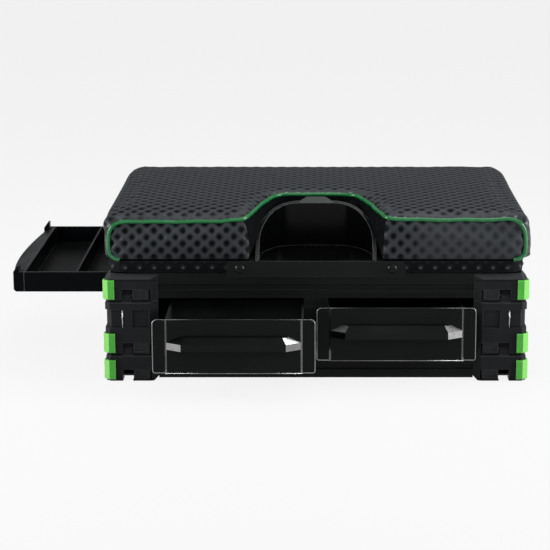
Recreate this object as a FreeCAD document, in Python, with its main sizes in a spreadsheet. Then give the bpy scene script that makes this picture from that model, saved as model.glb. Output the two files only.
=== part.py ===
"""Stacking fishing seat box: three framed modules, three drawers and a hinged seat lid.

Millimetres. X runs left to right, Y runs front to back and Z runs up. Each piece is drawn about
the middle of the frame at ground level, and the last step moves the whole box so that the origin
is the middle of its outline on the ground. The drawers are drawn as far out as they stand at rest.
"""
import FreeCAD
import Part
import Sketcher
import math
import os
from FreeCAD import Vector

# Driving dimensions, one spreadsheet cell each
SIZES = {
    # frame of corner castings and rails
    "casting_width": 545.0,         # over the corner castings, left to right
    "casting_depth": 400.0,         # over the corner castings, front to back
    "unit_height": 35.4,            # pitch of one module; the middle module is two
    "front_leg": 68.5,              # casting's arm along the front or back
    "front_leg_thick": 19.0,
    "side_leg": 43.5,               # casting's arm along the side
    "side_leg_thick": 16.5,
    "corner_bevel": 6.0,            # bevel down the casting's outer corner
    "end_bevel_width": 10.5,        # slope from the casting's face down to the rail
    "end_bevel_depth": 5.0,
    "foot_cut": 6.0,                # cut off the lower inner corner of a base casting
    "cap_chamfer": 6.5,             # slope round the top of the uppermost castings
    "joint_chamfer": 3.0,           # slope round the top of a casting that carries another
    "joint_foot_chamfer": 1.4,      # edge break under a casting that stands on another
    # green corner inserts
    "insert_reach": 12.8,           # how far an insert laps each face of the casting
    "insert_sunk": 4.0,
    "insert_proud": 2.5,
    "insert_facet": 7.0,
    "insert_bottom": 2.2,           # above the bottom of its module
    "insert_height": 25.4,
    "insert_edge": 0.8,
    # corner latch: tongue of the module below, window and lever of the module above
    "window_offset": 22.0,          # from the casting's outer side
    "window_width": 13.0,
    "window_height": 15.0,
    "tongue_clearance": 0.6,
    "tongue_height": 13.5,
    "tongue_setback": 1.5,
    "tongue_thick": 12.5,
    "recess_depth": 8.5,
    "recess_web": 1.5,              # web under the lever that holds the pin's lower end
    "lever_length": 19.5,           # pin to free end of the lever's plate
    "lever_thick": 6.6,
    "lever_setback": 0.7,
    "lever_gap": 0.5,               # above and below the lever
    "eye_gap": 0.7,
    "nose_bottom": 6.5,             # above the bottom of its module
    "nose_height": 2.7,
    "nose_depth": 2.8,
    "nose_gap": 0.5,                # round the nose in the tongue's slot
    "pin_radius": 1.5,              # over the corners of its flats
    "pin_running_gap": 0.05,
    "pin_from_end": 13.0,           # pin to the casting's inner end
    "pin_below_face": 4.0,
    "pin_length": 18.6,
    "pin_bottom": 0.3,
    "grip_depth": 0.9,
    "grip_margin": 2.4,
    # panels beside the rib of a double height casting
    "panel_depth": 2.0,
    "panel_margin": 1.6,
    "panel_headroom": 11.7,         # below the casting's top
    # rails
    "rail_setback": 5.0,            # rail face behind the casting's face
    "rail_thick": 14.0,
    "rail_margin": 3.2,             # rail stops this far short of its module's top and bottom
    "rail_wall": 2.0,
    "groove_bottom": 14.0,
    "groove_height": 8.0,
    "groove_depth": 2.6,
    "floor_thick": 2.0,
    "post_width": 31.4,
    # front drawers
    "drawer_lap": 0.8,              # a drawer's front laps the corner casting
    "drawer_panel_gap": 2.4,        # between the two fronts
    "drawer_panel_drop": 2.2,       # front's lower edge below the middle module
    "drawer_panel_headroom": 4.4,   # front's upper edge below the top module
    "drawer_panel_thick": 3.0,
    "drawer_panel_radius": 5.5,     # upper corners
    "drawer_foot_radius": 2.5,      # lower corners
    "field_inset": 15.5,            # raised field, from the front's side edges
    "field_raise": 3.0,
    "field_slope": 2.4,
    "tray_inset": 14.8,             # tray, from the front's side edges
    "tray_headroom": 8.5,
    "tray_rear_gap": 22.0,          # behind the tray when it is shut
    "tray_wall": 2.2,
    "tray_radius": 6.0,
    "running_gap": 0.3,
    "left_drawer_out": 82.0,
    "right_drawer_out": 20.0,
    "handle_inset": 2.0,            # from the ends of the raised field
    "handle_taper": 18.7,           # each end slopes in by this much on its way out
    "handle_bottom": 30.9,          # above the lower edge of the front
    "handle_height": 16.1,
    "handle_drop": 7.2,             # height of the hipped top above the upright band
    "handle_reach": 12.0,
    "handle_top_depth": 5.5,        # flat strip on top, beside the field
    "handle_top_inset": 14.4,       # the strip is this much shorter at each end
    "handle_wall": 2.0,
    # side drawer
    "side_drawer_out": 123.5,
    "side_tray_gap": 1.5,           # to the castings in front and behind
    "side_tray_height": 26.5,
    "side_tray_length": 368.0,
    "side_compartment": 68.0,
    "side_end_thick": 13.8,
    "side_end_bow": 12.5,
    "side_end_slope": 11.0,
    "side_ear_width": 12.0,
    "side_ear_thick": 8.0,
    "side_ear_rise": 8.0,
    "side_ear_top": 2.5,            # what its slanted outer side leaves on top
    "side_ear_foot": 3.0,           # corner cut off its foot
    "side_end_lip": 1.6,            # level strip beside the tray
    "side_end_step": 1.5,           # from that strip down to the sloping ledge
    "side_pull_inset": 24.0,        # finger hollow, from the ears
    "side_pull_wall": 2.6,
    # seat
    "board_side_inset": 5.5,        # from the outer faces of the corner castings
    "board_front_inset": 4.7,
    "board_rear_proud": 0.3,        # beyond the rear rail
    "board_thick": 16.4,
    "board_radius": 22.0,
    "board_step": 4.0,              # lower edge of the board steps in
    "board_step_height": 1.9,
    "pad_side_overhang": 4.0,       # beyond the board
    "pad_front_overhang": 2.2,
    "pad_front_height": 58.7,
    "pad_crown_height": 65.0,
    "pad_rear_height": 61.0,
    "pad_waist": 5.0,
    "pad_front_radius": 20.0,
    "pad_rear_radius": 55.0,
    "pad_edge_radius": 12.0,
    "pad_rear_edge_radius": 26.0,
    "pad_shoulder_radius": 28.0,
    "notch_round_cup": 2.0,         # pad's clearance round the cup's flange, low down
    "notch_foot_flare": 6.0,        # wider than that at the front
    "notch_foot_waist": 0.3,        # places on the lower outline, as shares of its half width
    "notch_foot_rear_half": 0.78,
    "notch_front_half": 93.0,
    "notch_waist_half": 71.0,
    "notch_rear_half": 50.0,
    "notch_waist_depth": 86.0,
    "notch_depth": 140.0,
    "notch_radius": 22.0,
    "notch_waist_radius": 60.0,
    "piping_radius": 2.5,
    "piping_inset": 3.4,
    "piping_sides": 8,
    "piping_hook": 13.0,
    "piping_hook_radius": 6.0,
    "piping_shoulder_radius": 25.0,
    "piping_notch_radius": 26.0,
    # pole cup in the front of the seat
    "cup_half_width": 76.0,
    "cup_centre": 45.0,             # where its sides begin to turn in, behind the pad's front
    "cup_reach": 78.0,              # from there to its rear
    "cup_flat_half": 25.0,          # half of the straight stretch at its rear
    "cup_wall": 2.5,
    "cup_floor_sunk": 5.8,          # underside of the cup below the top of the board
    "cup_front_wall": 5.3,
    "cup_rim_rise": 55.3,
    "cup_flange": 2.0,
    "cup_flange_thick": 2.2,
    "cup_pocket_gap": 0.3,
    "cup_tab_half": 24.0,
    "cup_tab_end_half": 12.0,
    "cup_tab_length": 11.0,
    # bolted plate in the middle of the seat's front edge
    "plate_width": 230.0,
    "plate_drop": 20.5,
    "plate_thick": 2.5,
    "plate_corner": 4.0,
    "plate_screw_spacing": 196.0,
    "plate_screw_drop": 9.3,
    "screw_head_radius": 6.0,
    "screw_head_height": 3.2,
    "screw_head_bevel": 1.6,
    "screw_shank_radius": 3.0,
    "screw_shank_length": 10.0,
    "screw_socket_flats": 4.0,
    "screw_socket_depth": 1.8,
    "screw_hole_gap": 0.1,
    # rear hinges of the seat
    "hinge_end_gap": 4.0,           # between a hinge and the casting beside it
    "hinge_width": 60.0,
    "hinge_leaf": 17.0,
    "hinge_lid_leaf": 11.9,
    "hinge_leaf_thick": 2.0,
    "hinge_axis_out": 4.0,          # pin behind the face of the rear rail
    "hinge_axis_rise": 0.4,         # pin above the top of the rail
    "knuckle_radius": 3.0,
    "knuckle_length": 18.0,
    "knuckle_gap": 0.3,
    "hinge_pin_radius": 1.5,
    "hinge_pin_end": 1.0,
}
CUT_MARGIN = 1.0                    # a cut starts this far outside the material
PIN_FLATS = 8                       # pins and their holes have flats, which keeps the facets few

doc = FreeCAD.newDocument("seat_box")
sheet = doc.addObject("Spreadsheet::Sheet", "Sizes")
for row, (alias, number) in enumerate(SIZES.items(), start=1):
    sheet.set(f"A{row}", alias)
    sheet.set(f"B{row}", str(number))
    sheet.setAlias(f"B{row}", alias)
doc.recompute()


class Size:
    """A length that carries its number and the sheet expression that gives it."""

    def __init__(self, number, text=None):
        self.number = float(number)
        self.text = text if text else repr(float(number))

    def combine(self, sign, other, result):
        return Size(result, f"({self.text} {sign} {other.text})")

    def __add__(self, other):
        other = as_size(other)
        return self.combine("+", other, self.number + other.number)

    def __sub__(self, other):
        other = as_size(other)
        return self.combine("-", other, self.number - other.number)

    def __mul__(self, other):
        other = as_size(other)
        return self.combine("*", other, self.number * other.number)

    def __truediv__(self, other):
        other = as_size(other)
        return self.combine("/", other, self.number / other.number)

    def __neg__(self):
        return Size(0) - self

    def __radd__(self, other):
        return as_size(other) + self

    def __rsub__(self, other):
        return as_size(other) - self

    def __rmul__(self, other):
        return as_size(other) * self


def as_size(value):
    return value if isinstance(value, Size) else Size(value)


class Cells:
    """Every driving dimension by its name."""


cell = Cells()
for alias in SIZES:
    setattr(cell, alias, Size(sheet.get(alias), f"Sizes.{alias}"))

# Places that several pieces share
half_width = cell.casting_width / 2
half_depth = cell.casting_depth / 2
base_bottom = Size(0)
middle_bottom = cell.unit_height
top_bottom = cell.unit_height * 3
frame_top = cell.unit_height * 4
leg_end = half_width - cell.front_leg
side_leg_end = half_depth - cell.side_leg
leg_inner = half_depth - cell.front_leg_thick
rail_face = half_depth - cell.rail_setback
rail_inner = rail_face - cell.rail_thick
side_rail_face = half_width - cell.rail_setback
side_rail_inner = side_rail_face - cell.rail_thick
window_outer = half_width - cell.window_offset
window_inner = window_outer - cell.window_width
pin_x = leg_end + cell.pin_from_end
pin_y = half_depth - cell.pin_below_face
board_half_width = half_width - cell.board_side_inset
board_front = cell.board_front_inset - half_depth
board_rear = rail_face + cell.board_rear_proud
board_top = frame_top + cell.board_thick
pad_half_width = board_half_width + cell.pad_side_overhang
pad_front = board_front - cell.pad_front_overhang
pad_rear = board_rear + cell.pad_front_overhang
cup_centre_y = pad_front + cell.cup_centre
cup_rear = cup_centre_y + cell.cup_reach
drawer_outer = leg_end + cell.drawer_lap
drawer_inner = cell.drawer_panel_gap / 2
drawer_middle = (drawer_outer + drawer_inner) / 2
drawer_half = (drawer_outer - drawer_inner) / 2
tray_half = drawer_half - cell.tray_inset
drawer_floor = middle_bottom + cell.floor_thick + cell.running_gap
side_tray_bottom = top_bottom + cell.floor_thick + cell.running_gap
hinge_y = rail_face + cell.hinge_axis_out
hinge_z = frame_top + cell.hinge_axis_rise

MODULES = {"base": (base_bottom, 1), "middle": (middle_bottom, 2), "top": (top_bottom, 1)}
CORNERS = {"front_left": (-1, -1), "front_right": (1, -1), "rear_left": (-1, 1), "rear_right": (1, 1)}

pieces = []


def bind(item, prop, size):
    item.setExpression(prop, as_size(size).text)


def new_body(name):
    body = doc.addObject("PartDesign::Body", name)
    body.AllowCompound = True
    return body


def finished(item, name):
    """Name a sub-part and put it in the list that is written out."""
    item.Label = name
    pieces.append(item)
    return item


def sketch_on(body, plane, offset):
    sketch = body.newObject("Sketcher::SketchObject", f"{body.Name}_outline")
    origin_plane = next(item for item in body.Origin.OriginFeatures if item.Role == f"{plane}_Plane")
    sketch.AttachmentSupport = (origin_plane, "")
    sketch.MapMode = "FlatFace"
    bind(sketch, "AttachmentOffset.Base.z", offset)
    return sketch


def hold(sketch, kind, geometry, point, size):
    """Fix one coordinate of a point at a bound distance from the sketch's origin."""
    size = as_size(size)
    index = sketch.addConstraint(Sketcher.Constraint(kind, -1, 1, geometry, point, size.number))
    sketch.setExpression(f"Constraints[{index}]", size.text)


def draw_polygon(sketch, corners):
    first = sketch.GeometryCount
    places = [Vector(as_size(x).number, as_size(y).number, 0) for x, y in corners]
    sketch.addGeometry([Part.LineSegment(a, b) for a, b in zip(places, places[1:] + places[:1])], False)
    count = len(corners)
    for i in range(count):
        following = first + (i + 1) % count
        sketch.addConstraint(Sketcher.Constraint("Coincident", first + i, 2, following, 1))
    for i, (x, y) in enumerate(corners):
        hold(sketch, "DistanceX", first + i, 1, x)
        hold(sketch, "DistanceY", first + i, 1, y)


def draw_circle(sketch, x, y, radius):
    centre = Vector(as_size(x).number, as_size(y).number, 0)
    index = sketch.addGeometry(Part.Circle(centre, Vector(0, 0, 1), radius.number), False)
    hold(sketch, "DistanceX", index, 3, x)
    hold(sketch, "DistanceY", index, 3, y)
    ring = sketch.addConstraint(Sketcher.Constraint("Radius", index, radius.number))
    sketch.setExpression(f"Constraints[{ring}]", radius.text)


def draw_arc_bulge(sketch, start, middle, end):
    """A closed shape of one arc through three bound points and its chord."""
    places = [Vector(as_size(x).number, as_size(y).number, 0) for x, y in (start, middle, end)]
    arc = sketch.addGeometry(Part.Arc(*places), False)
    tip = sketch.addGeometry(Part.Point(places[1]), True)
    chord = sketch.addGeometry(Part.LineSegment(places[0], places[2]), False)
    ends = (1, 2)
    begin = sketch.getPoint(arc, 1)
    if begin.distanceToPoint(places[0]) > begin.distanceToPoint(places[2]):
        ends = (2, 1)
    sketch.addConstraint(Sketcher.Constraint("Coincident", chord, 1, arc, ends[0]))
    sketch.addConstraint(Sketcher.Constraint("Coincident", chord, 2, arc, ends[1]))
    sketch.addConstraint(Sketcher.Constraint("PointOnObject", tip, 1, arc))
    for geometry, point, place in ((chord, 1, start), (tip, 1, middle), (chord, 2, end)):
        hold(sketch, "DistanceX", geometry, point, place[0])
        hold(sketch, "DistanceY", geometry, point, place[1])


def extrude(body, plane, low, high, outlines=(), circles=(), bulges=(), cut=False):
    """Add or remove a prism between two planes.

    The planes stand at low and high on the axis that is square to the sketch's plane. Y is minus
    the normal of the XZ plane, so the sketch there stands at the far or near end in turn.
    """
    low, high = as_size(low), as_size(high)
    starts_high = cut != (plane == "XZ")
    start = high if starts_high else low
    sketch = sketch_on(body, plane, -start if plane == "XZ" else start)
    for corners in outlines:
        draw_polygon(sketch, corners)
    for x, y, radius in circles:
        draw_circle(sketch, x, y, as_size(radius))
    for points in bulges:
        draw_arc_bulge(sketch, *points)
    kind = "Pocket" if cut else "Pad"
    feature = body.newObject(f"PartDesign::{kind}", f"{body.Name}_{kind}")
    feature.Profile = sketch
    bind(feature, "Length", high - low)
    body.Tip = feature
    return feature


def loft_up(body, low, low_corners, high, high_corners):
    """Add a straight sided loft between two level polygons with as many corners."""
    sections = []
    for level, corners in ((low, low_corners), (high, high_corners)):
        sketch = sketch_on(body, "XY", level)
        draw_polygon(sketch, corners)
        sections.append(sketch)
    feature = body.newObject("PartDesign::AdditiveLoft", f"{body.Name}_Loft")
    feature.Profile = sections[0]
    feature.Sections = sections[1:]
    feature.Ruled = True
    body.Tip = feature
    return feature


def checked_cut(body, plane, low, high, **shapes):
    """Remove a prism, and stop if it took nothing away."""
    doc.recompute()
    before = body.Shape.Volume
    feature = extrude(body, plane, low, high, cut=True, **shapes)
    doc.recompute()
    if not body.Shape.Volume < before:
        raise ValueError(f"a cut in {body.Name} removes nothing")
    return feature


def rectangle(x_low, x_high, y_low, y_high):
    return [(x_low, y_low), (x_high, y_low), (x_high, y_high), (x_low, y_high)]


def flats(x, y, radius):
    """A pin or its hole as a polygon, with its corners on the radius."""
    corners = []
    for index in range(PIN_FLATS):
        angle = 2 * math.pi * index / PIN_FLATS
        corners.append((x + radius * math.cos(angle), y + radius * math.sin(angle)))
    return corners


def span(sign, near, far):
    """Low and high ends of a stretch that lies on one side of the middle."""
    return (-far, -near) if sign < 0 else (near, far)


def edge_names(shape, wanted):
    return [f"Edge{i}" for i, edge in enumerate(shape.Edges, start=1) if wanted(edge)]


def dress(body, kind, size, wanted):
    """Fillet or chamfer the edges that a test picks out."""
    doc.recompute()
    base = body.Tip
    names = edge_names(base.Shape, wanted)
    if not names:
        raise ValueError(f"no edge to {kind} in {body.Name}")
    feature = body.newObject(f"PartDesign::{kind}", f"{body.Name}_{kind}")
    feature.Base = (base, names)
    bind(feature, "Radius" if kind == "Fillet" else "Size", size)
    body.Tip = feature
    return feature


def runs_along(edge, axis):
    """True for a straight edge along one axis: 0 is X, 1 is Y and 2 is Z."""
    if len(edge.Vertexes) != 2:
        return False
    step = edge.Vertexes[1].Point - edge.Vertexes[0].Point
    return abs(abs(step[axis]) - step.Length) < 1e-6 and abs(edge.Length - step.Length) < 1e-6


def lies_at(edge, axis, size):
    middle = (edge.Vertexes[0].Point + edge.Vertexes[-1].Point) / 2
    return abs(middle[axis] - as_size(size).number) < 1e-3


# Corner castings: an angle in plan, with the latch window, lever recess and tongue
def corner_casting(corner, module):
    side, face = CORNERS[corner]
    bottom, units = MODULES[module]
    top = bottom + cell.unit_height * units

    def plan(points):
        return [(side * x, face * y) for x, y in points]

    def upright(x_near, x_far, z_low, z_high):
        return rectangle(*span(side, x_near, x_far), z_low, z_high)

    body = new_body(f"{corner}_{module}_casting")
    bevel = cell.corner_bevel
    beyond_face = half_depth + CUT_MARGIN
    through_leg = span(face, leg_inner - CUT_MARGIN, beyond_face)
    extrude(body, "XY", bottom, top, [plan([
        (half_width - bevel, half_depth),
        (leg_end + cell.end_bevel_width, half_depth),
        (leg_end, rail_face),
        (leg_end, leg_inner),
        (half_width - cell.side_leg_thick, leg_inner),
        (half_width - cell.side_leg_thick, side_leg_end),
        (side_rail_face, side_leg_end),
        (half_width, side_leg_end + cell.end_bevel_width),
        (half_width, half_depth - bevel)])])

    def outer_edge(edge, level):
        return lies_at(edge, 2, level) and (
            lies_at(edge, 1, face * half_depth) or lies_at(edge, 0, side * half_width)
            or (lies_at(edge, 0, side * (half_width - bevel / 2))
                and lies_at(edge, 1, face * (half_depth - bevel / 2))))

    top_slope = cell.cap_chamfer if module == "top" else cell.joint_chamfer
    dress(body, "Chamfer", top_slope, lambda edge: outer_edge(edge, top))
    if module != "base":
        dress(body, "Chamfer", cell.joint_foot_chamfer, lambda edge: outer_edge(edge, bottom))
    if module == "base":
        checked_cut(body, "XZ", *through_leg, outlines=[
            [(side * (leg_end - CUT_MARGIN), bottom - CUT_MARGIN),
             (side * (leg_end + cell.foot_cut), bottom - CUT_MARGIN),
             (side * (leg_end + cell.foot_cut), bottom), (side * leg_end, bottom + cell.foot_cut),
             (side * (leg_end - CUT_MARGIN), bottom + cell.foot_cut)]])

    # seat of the green insert
    inner_x = half_width - cell.insert_sunk
    inner_y = half_depth - cell.insert_sunk
    lap_x = half_width - cell.insert_reach
    lap_y = half_depth - cell.insert_reach
    clear = cell.insert_proud + CUT_MARGIN
    seat_low = bottom + cell.insert_bottom
    checked_cut(body, "XY", seat_low, seat_low + cell.insert_height, outlines=[plan([
        (lap_x, half_depth + clear), (lap_x, inner_y), (inner_x - bevel, inner_y),
        (inner_x, inner_y - bevel), (inner_x, lap_y), (half_width + clear, lap_y),
        (half_width + clear, half_depth + clear)])])

    # latch window right through the leg, and the recess that the lever lies in
    checked_cut(body, "XZ", *through_leg, outlines=[
        upright(window_inner, window_outer, bottom - CUT_MARGIN, bottom + cell.window_height)])
    recess_end = pin_x - cell.lever_thick / 2 - cell.eye_gap
    checked_cut(body, "XZ", *span(face, half_depth - cell.recess_depth, beyond_face), outlines=[
        upright(recess_end, window_inner + CUT_MARGIN,
                bottom + cell.recess_web, bottom + cell.window_height)])
    pin_low = bottom + cell.pin_bottom
    checked_cut(body, "XY", pin_low, pin_low + cell.pin_length,
                outlines=[flats(side * pin_x, face * pin_y, cell.pin_radius)])

    # panels sunk beside the rib of the double height casting, one of them right round the corner
    if module == "middle":
        panel_low = bottom + cell.unit_height
        panel_high = top - cell.panel_headroom
        sunk_x = half_width - cell.panel_depth
        sunk_y = half_depth - cell.panel_depth
        beyond_side = half_width + CUT_MARGIN
        panel_end = side_leg_end + cell.end_bevel_width + cell.panel_margin
        checked_cut(body, "XZ", *span(face, sunk_y, beyond_face), outlines=[
            upright(leg_end + cell.end_bevel_width + cell.panel_margin, window_inner,
                    panel_low, panel_high)])
        checked_cut(body, "XY", panel_low, panel_high, outlines=[plan([
            (window_outer, beyond_face), (window_outer, sunk_y), (sunk_x - bevel, sunk_y),
            (sunk_x, sunk_y - bevel), (sunk_x, panel_end), (beyond_side, panel_end),
            (beyond_side, beyond_face)])])

    # tongue that the next module's lever hooks
    if module != "top":
        tongue_face = half_depth - cell.tongue_setback
        clearance = cell.tongue_clearance
        extrude(body, "XY", top - cell.joint_chamfer, top + cell.tongue_height, [plan(rectangle(
            window_inner + clearance, window_outer - clearance,
            tongue_face - cell.tongue_thick, tongue_face))])
        slot_back = pin_y - cell.nose_depth / 2 - cell.nose_gap * 2
        slot_low = top + cell.nose_bottom - cell.nose_gap
        checked_cut(body, "XZ", *span(face, slot_back, beyond_face), outlines=[
            upright(window_inner, window_outer, slot_low,
                    slot_low + cell.nose_height + cell.nose_gap * 2)])
    finished(body, f"{corner}_{module}_casting")


# Green inserts: four to a module, lapping the outer corner
def corner_inserts(module):
    bottom, _ = MODULES[module]
    low = bottom + cell.insert_bottom
    body = new_body(f"{module}_corner_inserts")
    inner_x = half_width - cell.insert_sunk
    inner_y = half_depth - cell.insert_sunk
    lap_x = half_width - cell.insert_reach
    lap_y = half_depth - cell.insert_reach
    outer_x = half_width + cell.insert_proud
    outer_y = half_depth + cell.insert_proud
    bevel = cell.corner_bevel
    facet = cell.insert_facet
    plan = [(lap_x, inner_y), (inner_x - bevel, inner_y), (inner_x, inner_y - bevel), (inner_x, lap_y),
            (outer_x, lap_y), (outer_x, outer_y - facet), (outer_x - facet, outer_y), (lap_x, outer_y)]
    extrude(body, "XY", low, low + cell.insert_height, [
        [(side * x, face * y) for x, y in plan] for side, face in CORNERS.values()])

    def outer_rim(edge):
        middle = (edge.Vertexes[0].Point + edge.Vertexes[-1].Point) / 2
        level = lies_at(edge, 2, low) or lies_at(edge, 2, low + cell.insert_height)
        proud_x = abs(abs(middle.x) - outer_x.number) < 1e-3
        proud_y = abs(abs(middle.y) - outer_y.number) < 1e-3
        on_facet = (abs(abs(middle.x) - (outer_x - facet / 2).number) < 1e-3
                    and abs(abs(middle.y) - (outer_y - facet / 2).number) < 1e-3)
        return level and (proud_x or proud_y or on_facet)

    dress(body, "Chamfer", cell.insert_edge, outer_rim)
    finished(body, f"{module}_corner_inserts")


# Latch levers: a plate with an eye round its pin and a steel nose across the window
def latch_lever(corner, module):
    side, face = CORNERS[corner]
    bottom, _ = MODULES[module]
    body = new_body(f"{corner}_{module}_lever")
    low = bottom + cell.recess_web + cell.lever_gap
    high = bottom + cell.window_height - cell.lever_gap
    outer = half_depth - cell.lever_setback
    inner = outer - cell.lever_thick
    plate_end = pin_x + cell.lever_length
    extrude(body, "XY", low, high, [[(side * x, face * y) for x, y in rectangle(
        pin_x, plate_end, inner, outer)]])
    extrude(body, "XY", low, high, circles=[(side * pin_x, face * (outer + inner) / 2,
                                            cell.lever_thick / 2)])
    nose_low = bottom + cell.nose_bottom
    extrude(body, "XY", nose_low, nose_low + cell.nose_height, [[(side * x, face * y) for x, y in rectangle(
        plate_end - cell.nose_depth, window_outer - cell.eye_gap,
        pin_y - cell.nose_depth / 2, pin_y + cell.nose_depth / 2)]])
    margin = cell.grip_margin
    checked_cut(body, "XZ", *span(face, outer - cell.grip_depth, outer + CUT_MARGIN), outlines=[
        rectangle(*span(side, pin_x + margin, plate_end - margin), low + margin, high - margin)])
    bore = (cell.pin_radius + cell.pin_running_gap) / math.cos(math.pi / PIN_FLATS)
    checked_cut(body, "XY", low - CUT_MARGIN, high + CUT_MARGIN,
                outlines=[flats(side * pin_x, face * pin_y, bore)])
    finished(body, f"{corner}_{module}_lever")


def latch_pins():
    body = new_body("latch_pins")
    for bottom, _ in MODULES.values():
        low = bottom + cell.pin_bottom
        extrude(body, "XY", low, low + cell.pin_length, [
            flats(side * pin_x, face * pin_y, cell.pin_radius) for side, face in CORNERS.values()])
    finished(body, "latch_pins")


# Rails: hollow extrusions with a groove along the outer face for each unit of height
def rail(name, plane, sign, face_at, reach, module):
    bottom, units = MODULES[module]
    low = bottom + cell.rail_margin
    high = bottom + cell.unit_height * units - cell.rail_margin
    if module == "top":
        high = frame_top
    inner_at = face_at - cell.rail_thick
    outline = [(sign * inner_at, low), (sign * face_at, low)]
    groove_at = face_at - cell.groove_depth
    for unit in range(units):
        groove_low = bottom + cell.unit_height * unit + cell.groove_bottom
        groove_high = groove_low + cell.groove_height
        outline += [(sign * face_at, groove_low), (sign * groove_at, groove_low),
                    (sign * groove_at, groove_high), (sign * face_at, groove_high)]
    outline += [(sign * face_at, high), (sign * inner_at, high)]
    wall = cell.rail_wall
    hollow = rectangle(*span(sign, inner_at + wall, groove_at - wall), low + wall, high - wall)
    body = new_body(name)
    extrude(body, plane, -reach, reach, [outline, hollow])
    finished(body, name)


def rails():
    for module in MODULES:
        if module != "middle":
            rail(f"{module}_front_rail", "YZ", -1, rail_face, leg_end, module)
        rail(f"{module}_rear_rail", "YZ", 1, rail_face, leg_end, module)
        if module != "top":
            rail(f"{module}_left_rail", "XZ", -1, side_rail_face, side_leg_end, module)
        rail(f"{module}_right_rail", "XZ", 1, side_rail_face, side_leg_end, module)


# Floors lie between the rails; the middle one runs out to a sill under the drawers
def floors():
    for module, (bottom, _) in MODULES.items():
        body = new_body(f"{module}_floor")
        low = bottom + cell.rail_margin if module == "base" else bottom
        high = low + cell.floor_thick
        inner_x = side_rail_inner
        front = rail_face if module == "middle" else rail_inner
        outline = [(-inner_x, rail_inner), (-inner_x, -rail_inner), (-leg_end, -rail_inner),
                   (-leg_end, -front), (leg_end, -front), (leg_end, -rail_inner),
                   (inner_x, -rail_inner), (inner_x, rail_inner)]
        if module != "middle":
            outline = rectangle(-inner_x, inner_x, -rail_inner, rail_inner)
        extrude(body, "XY", low, high, [outline])
        finished(body, f"{module}_floor")
    post = new_body("centre_post")
    post_half = drawer_middle - tray_half - cell.running_gap
    extrude(post, "XY", middle_bottom + cell.floor_thick, top_bottom + cell.rail_margin, [
        rectangle(-post_half, post_half, -rail_face, -rail_inner)])
    finished(post, "centre_post")


# Front drawers: tray, flanged front with a raised field, and a hip ended finger pull
def front_drawer(name, sign, out):
    middle = sign * drawer_middle
    front = -half_depth - out
    back = front + cell.drawer_panel_thick
    raised = front - cell.field_raise
    panel_low = middle_bottom - cell.drawer_panel_drop
    panel_high = top_bottom - cell.drawer_panel_headroom

    tray = new_body(f"{name}_tray")
    wall = cell.tray_wall
    inside = tray_half - wall
    top = top_bottom - cell.tray_headroom
    rear = back + rail_inner - cell.tray_rear_gap + half_depth - cell.drawer_panel_thick
    extrude(tray, "XY", drawer_floor, top, [
        rectangle(middle - tray_half, middle + tray_half, back, rear)])
    dress(tray, "Fillet", cell.tray_radius, lambda edge: runs_along(edge, 2))
    checked_cut(tray, "XY", drawer_floor + wall, top + CUT_MARGIN, outlines=[
        rectangle(middle - inside, middle + inside, back + wall, rear - wall)])
    dress(tray, "Fillet", cell.tray_radius - wall, lambda edge: (
        runs_along(edge, 2)
        and (lies_at(edge, 0, middle - inside) or lies_at(edge, 0, middle + inside))))
    finished(tray, f"{name}_tray")

    panel = new_body(f"{name}_front")
    extrude(panel, "XZ", front, back, [
        rectangle(middle - drawer_half, middle + drawer_half, panel_low, panel_high)])
    for radius, level in ((cell.drawer_panel_radius, panel_high), (cell.drawer_foot_radius, panel_low)):
        dress(panel, "Fillet", radius, lambda edge: runs_along(edge, 1) and lies_at(edge, 2, level))
    field = drawer_half - cell.field_inset
    extrude(panel, "XZ", raised, front, [
        rectangle(middle - field, middle + field, panel_low, panel_high)])
    dress(panel, "Chamfer", cell.field_slope,
          lambda edge: runs_along(edge, 2) and lies_at(edge, 1, raised))
    finished(panel, f"{name}_front")

    handle = new_body(f"{name}_handle")
    half = field - cell.handle_inset
    low = panel_low + cell.handle_bottom
    high = low + cell.handle_height
    wall = cell.handle_wall
    taper = cell.handle_taper
    lip = raised - cell.handle_reach
    band_top = high - cell.handle_drop

    def trapezoid(long_half, run, depth):
        return [(middle - long_half, raised), (middle - long_half + run, raised - depth),
                (middle + long_half - run, raised - depth), (middle + long_half, raised)]

    band = trapezoid(half, taper, cell.handle_reach)
    strip = trapezoid(half - cell.handle_top_inset, taper * cell.handle_top_depth / cell.handle_reach,
                      cell.handle_top_depth)
    extrude(handle, "XY", low, band_top, [band])
    loft_up(handle, band_top, band, high, strip)
    checked_cut(handle, "XY", low - CUT_MARGIN, band_top - wall, outlines=[[
        (middle - half + wall * 2, raised + CUT_MARGIN), (middle - half + wall * 2, raised),
        (middle - half + taper + wall, lip + wall), (middle + half - taper - wall, lip + wall),
        (middle + half - wall * 2, raised), (middle + half - wall * 2, raised + CUT_MARGIN)]])
    finished(handle, f"{name}_handle")


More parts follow.
